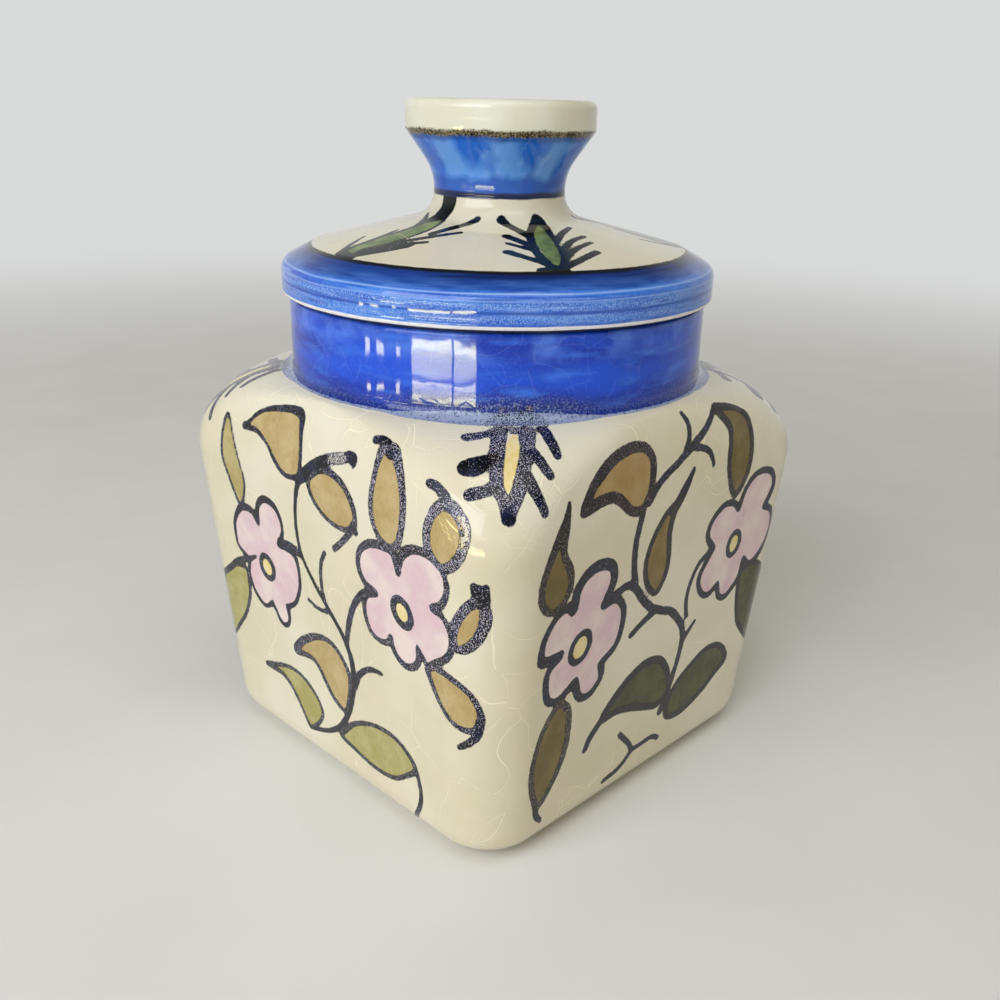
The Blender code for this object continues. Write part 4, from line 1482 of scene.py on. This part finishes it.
def dome_paint(tree, place, cracks):
    """Cream with black-outlined green leaves."""
    leaf_edge = add(tree, "Attribute", out="Fac", attribute_name="leaf")
    ink = add(tree, "Attribute", out="Fac", attribute_name="ink")
    green = add(tree, "Mix", (cloud(tree, place, 5.0), "#7F9250", "#4F6234"), data_type="RGBA")
    black = add(tree, "Mix", (cloud(tree, place, 4.0), "#050707", "#171D1A"), data_type="RGBA")
    in_leaf = laid_to(tree, place, leaf_edge, edge=0.0, soft=0.3, size=1.6, reach=WASH_SWAY)
    return coated(tree, cream_ground(tree, place),
                  (in_leaf, green),
                  (add(tree, "Math", (cracks, CRACK_ON_DOME), operation="MULTIPLY"), "#F3EFD8"),
                  (ink_cover(tree, place, ink), black))


def slope_and_rim(tree, place, up, out):
    """Navy on the slope that lifts to the rim's blue, inside a black line round the dome."""
    rings = add(tree, "VectorMath", (place, (0.25, 0.25, 3.0)), operation="MULTIPLY")
    navy = add(tree, "Mix", (cloud(tree, rings, 5, 0.38, 0.62), "#0C2560", "#1B3F8E"), data_type="RGBA")
    light = add(tree, "Mix", (cloud(tree, rings, 3, 0.38, 0.62), "#2450A8", "#4B7ACB"), data_type="RGBA")
    off_axis = wandering(tree, place, out, size=11.0, reach=0.7)
    lifts = add(tree, "MapRange", {"Value": off_axis, "From Min": SLOPE_LIFTS, "From Max": SLOPE_LIFTED})
    slope = add(tree, "Mix", (lifts, navy, light), data_type="RGBA")
    on_slope = add(tree, "MapRange", {"Value": off_axis, "From Min": SLOPE_END + 0.3,
                                      "From Max": SLOPE_END - 0.3})
    line = laid_to(tree, place, out, edge=DOME_LINE + DOME_LINE_WIDTH, soft=0.3, size=6.0, reach=0.25)
    return coated(tree, rim_blue(tree, place, up), (on_slope, slope), (line, "#101118"))


print("the dome's line is", round(RIM_RADIUS - DOME_LINE, 1), "mm in from the rim")

# %% [markdown]
# The bottom edge of the rim was wiped, and shows as a thin white line over the neck. Under it,
# where the rim's lowest curve faces down, a painted shadow is laid in near-black navy. The seat and
# the plug ring below it are bare clay, because the lid was fired in its place on the jar. Under the
# knob the waist has a dark line.

# %% Painted earthenware of the lid
LID_CELL, LID_CRACK = 19.0, 0.09
RIM_WIPED = SEAT + 1.4
# height in mm where the painted shadow under the rim ends
RIM_SHADOW_TOP = SEAT + 0.55
RIM_MATT = 0.4
WAIST_LINE, WAIST_LINE_TOP = SEAT + 24.4, SEAT + 24.7


def wiped_clay(tree, place, up):
    """The pale edge where the glaze was wiped off, a painted shadow at its foot, and bare clay on the
    plug.
    """
    # painted shadow: the rim's curve that faces down is coloured near-black navy below this height
    painted_shadow_under_rim = laid_to(tree, place, up, edge=RIM_SHADOW_TOP, soft=0.08, size=9.0, reach=0.12)
    below_seat = add(tree, "MapRange", {"Value": up, "From Min": SEAT, "From Max": SEAT - 0.1})
    return coated(tree, "#FBFAFA",
                  (cloud(tree, place, 1.0), "#F2EFF0"),
                  (painted_shadow_under_rim, "#141A3C"),
                  (below_seat, bare_clay(tree, place)))


def lid_material():
    finish, tree, place = new_finish("lid_painted_earthenware")
    up = height_mm(tree, place)
    out = axis_distance_mm(tree, place)
    cracks = crazing(tree, place, LID_CELL, LID_CRACK)
    on_dome = laid_to(tree, place, out, edge=DOME_LINE, soft=0.15, size=5.0, reach=0.2)
    level = wandering(tree, place, up, size=5.0, reach=0.35)
    waist = add(tree, "MapRange", {"Value": level, "From Min": WAIST_LINE, "From Max": WAIST_LINE_TOP})
    wiped = laid_to(tree, place, up, edge=RIM_WIPED, soft=0.12, size=8.0, reach=0.15)
    base = coated(tree, slope_and_rim(tree, place, up, out),
                  (on_dome, dome_paint(tree, place, cracks)),
                  (waist, "#232C55"),
                  (wiped, wiped_clay(tree, place, up)))
    roughness = add(tree, "MapRange", {"Value": wiped, "To Min": GLOSS, "To Max": RIM_MATT})
    open_cracks = add(tree, "Math", (cracks, on_dome), operation="MULTIPLY")
    relief = add(tree, "Math", (open_cracks, -CRACK_DEPTH), operation="MULTIPLY")
    surface(tree, place, base, roughness, relief)
    return finish


lid_cover.data.materials.append(lid_material())
print("lid finish nodes", len(lid_cover.data.materials[0].node_tree.nodes))

# %% [markdown]
# The knob's waist is blue with runs where the glaze flowed down, and its band is cream. The
# brown line between them is where the two glazes met and granulated.

# %% Painted earthenware of the knob
BROWN_LINE = 1.5
CREAM_EDGE = band_foot + 0.45
KNOB_GLOSS = 0.05


def knob_blue(tree, place, up):
    """Thin cobalt in upright runs, pooled at the foot and darker under the brown line."""
    runs = add(tree, "VectorMath", (place, (1.0, 1.0, 0.5)), operation="MULTIPLY")
    pool = laid_to(tree, place, up, edge=KNOB_FOOT + 3.4, soft=0.9, size=7.0, reach=2.6, share=0.8)
    under_line = laid_to(tree, place, up, edge=band_foot - BROWN_LINE - 0.6, soft=-0.5, size=6.0,
                         reach=0.8, share=0.7)
    foot = laid_to(tree, place, up, edge=KNOB_FOOT + 0.25, soft=0.3, size=5.0, reach=0.4)
    return coated(tree, "#2B70DC",
                  (cloud(tree, runs, 8.0, 0.42, 0.58, 2.0), "#66A2F2"),
                  (cloud(tree, runs, 3.0, 0.55, 0.72, share=0.4), "#8CBAF6"),
                  (pool, "#1850B8"),
                  (under_line, "#1F4C9E"),
                  (foot, "#1E2750"))


def knob_material():
    finish, tree, place = new_finish("knob_blue_glazed_earthenware")
    up = height_mm(tree, place)
    cream = add(tree, "Mix", (cloud(tree, place, 12.0), "#E8E6D5", "#DFDBC2"), data_type="RGBA")
    salt = cloud(tree, place, 0.5, 0.47, 0.56, 2.0)
    brown = add(tree, "Mix", (salt, "#37311F", "#94876A"), data_type="RGBA")
    level = wandering(tree, place, up, size=6.0, reach=0.5)
    ragged = wandering(tree, place, level, size=0.7, reach=0.4)
    below_brown = add(tree, "MapRange", {"Value": ragged, "From Min": CREAM_EDGE - BROWN_LINE + 0.3,
                                         "From Max": CREAM_EDGE - BROWN_LINE - 0.3})
    lower = add(tree, "Mix", (below_brown, brown, knob_blue(tree, place, up)), data_type="RGBA")
    below_cream = add(tree, "MapRange", {"Value": ragged, "From Min": CREAM_EDGE + 0.25,
                                         "From Max": CREAM_EDGE - 0.25})
    base = add(tree, "Mix", (below_cream, cream, lower), data_type="RGBA")
    surface(tree, place, base, KNOB_GLOSS, 0.0)
    return finish


lid_knob.data.materials.append(knob_material())
print("knob finish nodes", len(lid_knob.data.materials[0].node_tree.nodes))

# %% [markdown]
# The jar stands on a roll of pale studio paper. Far from the jar the paper fades into the
# backdrop, so no horizon shows. Only rays that end in the eye see that, straight or by the
# glaze's shine, and the light that the paper throws on the jar is left as it is.

# %% Studio floor
FLOOR_HALF = 4.0
FLOOR_ROUGHNESS = 0.7
PAPER = "#D9DADA"
FLOOR_FADES_FROM, FLOOR_FADES_TO = 0.3, 1.1


def seen_share(tree):
    """1 for rays that end in the eye, straight or through a mirror or glass, and 0 for light."""
    rays = add(tree, "LightPath").node.outputs
    seen = add(tree, "Math", (rays["Is Camera Ray"], rays["Is Glossy Ray"]), operation="MAXIMUM")
    return add(tree, "Math", (seen, rays["Is Transmission Ray"]), operation="MAXIMUM")


def paper_finish():
    finish, tree, place = new_finish("studio_paper")
    tone = add(tree, "Mix", (cloud(tree, place, 60), "#E9E8E5", "#E5E4E1"), data_type="RGBA")
    paper = add(tree, "BsdfPrincipled", {"Base Color": tone, "Roughness": FLOOR_ROUGHNESS})
    far_paper = add(tree, "Emission", {"Color": PAPER, "Strength": 1.0})
    away = add(tree, "VectorMath", (place,), out="Value", operation="LENGTH")
    fade = add(tree, "MapRange", {"Value": away, "From Min": FLOOR_FADES_FROM,
                                  "From Max": FLOOR_FADES_TO}, interpolation_type="SMOOTHSTEP")
    share = add(tree, "Math", (fade, seen_share(tree)), operation="MULTIPLY")
    add(tree, "OutputMaterial", {"Surface": add(tree, "MixShader", (share, paper, far_paper))})
    return finish


floor_mesh = bpy.data.meshes.new("studio_floor")
bm = bmesh.new()
bmesh.ops.create_grid(bm, x_segments=1, y_segments=1, size=FLOOR_HALF)
bm.to_mesh(floor_mesh)
bm.free()
floor = bpy.data.objects.new("studio_floor", floor_mesh)
bpy.context.scene.collection.objects.link(floor)
floor_mesh.materials.append(paper_finish())
print("the floor is", 2 * FLOOR_HALF, "m wide")

# %% [markdown]
# Around the jar is pale air that lights it softly from every side. The room overhead is seen
# darker than the backdrop, so that the shine on the shoulder and the lid doesn't veil the paint.

# %% Air and backdrop
AMBIENT = 0.285
ROOM = "#5C6166"
ROOM_FROM, ROOM_ALL = 0.30, 0.62

world = bpy.data.worlds.new("studio_air")
world.use_nodes = True
tree = world.node_tree
tree.nodes.clear()
lit = add(tree, "Background", {"Color": "#FFF8E1", "Strength": AMBIENT})
looks = add(tree, "TexCoord", out="Generated")
upward = add(tree, "SeparateXYZ", (looks,), out="Z")
overhead = add(tree, "MapRange", {"Value": upward, "From Min": ROOM_FROM, "From Max": ROOM_ALL})
backdrop = add(tree, "Mix", (overhead, PAPER, ROOM), data_type="RGBA")
shown = add(tree, "Background", {"Color": backdrop, "Strength": 1.0})
add(tree, "OutputWorld", {"Surface": add(tree, "MixShader", (seen_share(tree), lit, shown))})
bpy.context.scene.world = world
print("the room gives", AMBIENT, "of the light of white paper")

# %% [markdown]
# Two soft lamps light the jar from the front: a large cool one on the left, as the window was,
# and a weak one overhead that opens the shadow.

# %% Lamps
def soft_light(name, bearing, distance, height, width, tall, radiance, target=0.09, tint="#FFFFFF"):
    """A flat light that faces the jar's axis; bearing is in degrees from the camera, leftward."""
    light = bpy.data.lights.new(name, "AREA")
    light.shape = "RECTANGLE"
    light.size = width
    light.size_y = tall
    light.energy = radiance * pi * width * tall
    light.color = colour(tint)[:3]
    holder = bpy.data.objects.new(name, light)
    holder.visible_camera = False
    bpy.context.scene.collection.objects.link(holder)
    angle = CAMERA_BEARING - pi / 2 - radians(bearing)
    tilt = np.arctan2(height - target, distance)
    spot = Matrix.Translation((distance * cos(angle), distance * sin(angle), height))
    turned_in = Matrix.Rotation(angle + pi / 2, 4, "Z") @ Matrix.Rotation(pi / 2 - tilt, 4, "X")
    holder.matrix_world = spot @ turned_in
    return holder


key = soft_light("key_softbox", bearing=38, distance=1.2, height=0.8, width=1.1, tall=0.8,
                 radiance=5.1, tint="#F1F5FF")
soft_light("top_softbox", bearing=-20, distance=0.5, height=1.4, width=1.0, tall=0.8, radiance=1.85)
print("the key lamp gives", round(key.data.energy, 1), "watts")

# %% [markdown]
# The square highlights on the glaze are the panes of a window that only mirror-like rays see:
# `visible_diffuse` is off, so they put no light on the clay. Each pane's place was found by
# sending a ray from the camera to a highlight of the photograph and on to an upright wall.
# A pane is a bearing in degrees and a width in metres. A strip across it is a lower edge and
# an upper edge, in metres over the table, and a brightness.

# %% Window panes
WINDOW_DISTANCE = 0.42
WINDOW_TINT = "#FFF9B0"
near_panes = ((31.7, 0.152), (15.0, 0.08))
near_strips = ((0.0068, 0.0100, 28), (0.0108, 0.0135, 12), (0.0143, 0.0178, 22), (0.0215, 0.0375, 13),
               (0.0375, 0.0425, 28), (0.0590, 0.0650, 28), (0.160, 0.166, 8))
far_panes = ((67.5, 0.02), (60.0, 0.032), (49.5, 0.016))
far_strips = ((0.0115, 0.0160, 22), (0.0335, 0.0405, 18), (0.0615, 0.0670, 22))
high_panes = ((50.0, 0.09),)
high_strips = ((0.114, 0.130, 20),)
count = 0
for panes, strips in ((near_panes, near_strips), (far_panes, far_strips), (high_panes, high_strips)):
    for bearing, width in panes:
        for low, high, radiance in strips:
            middle = (low + high) / 2
            pane = soft_light("window_pane_%d" % count, bearing, WINDOW_DISTANCE, middle, width,
                              high - low, radiance, middle, WINDOW_TINT)
            pane.visible_diffuse = False
            count += 1
print("window panes", count)
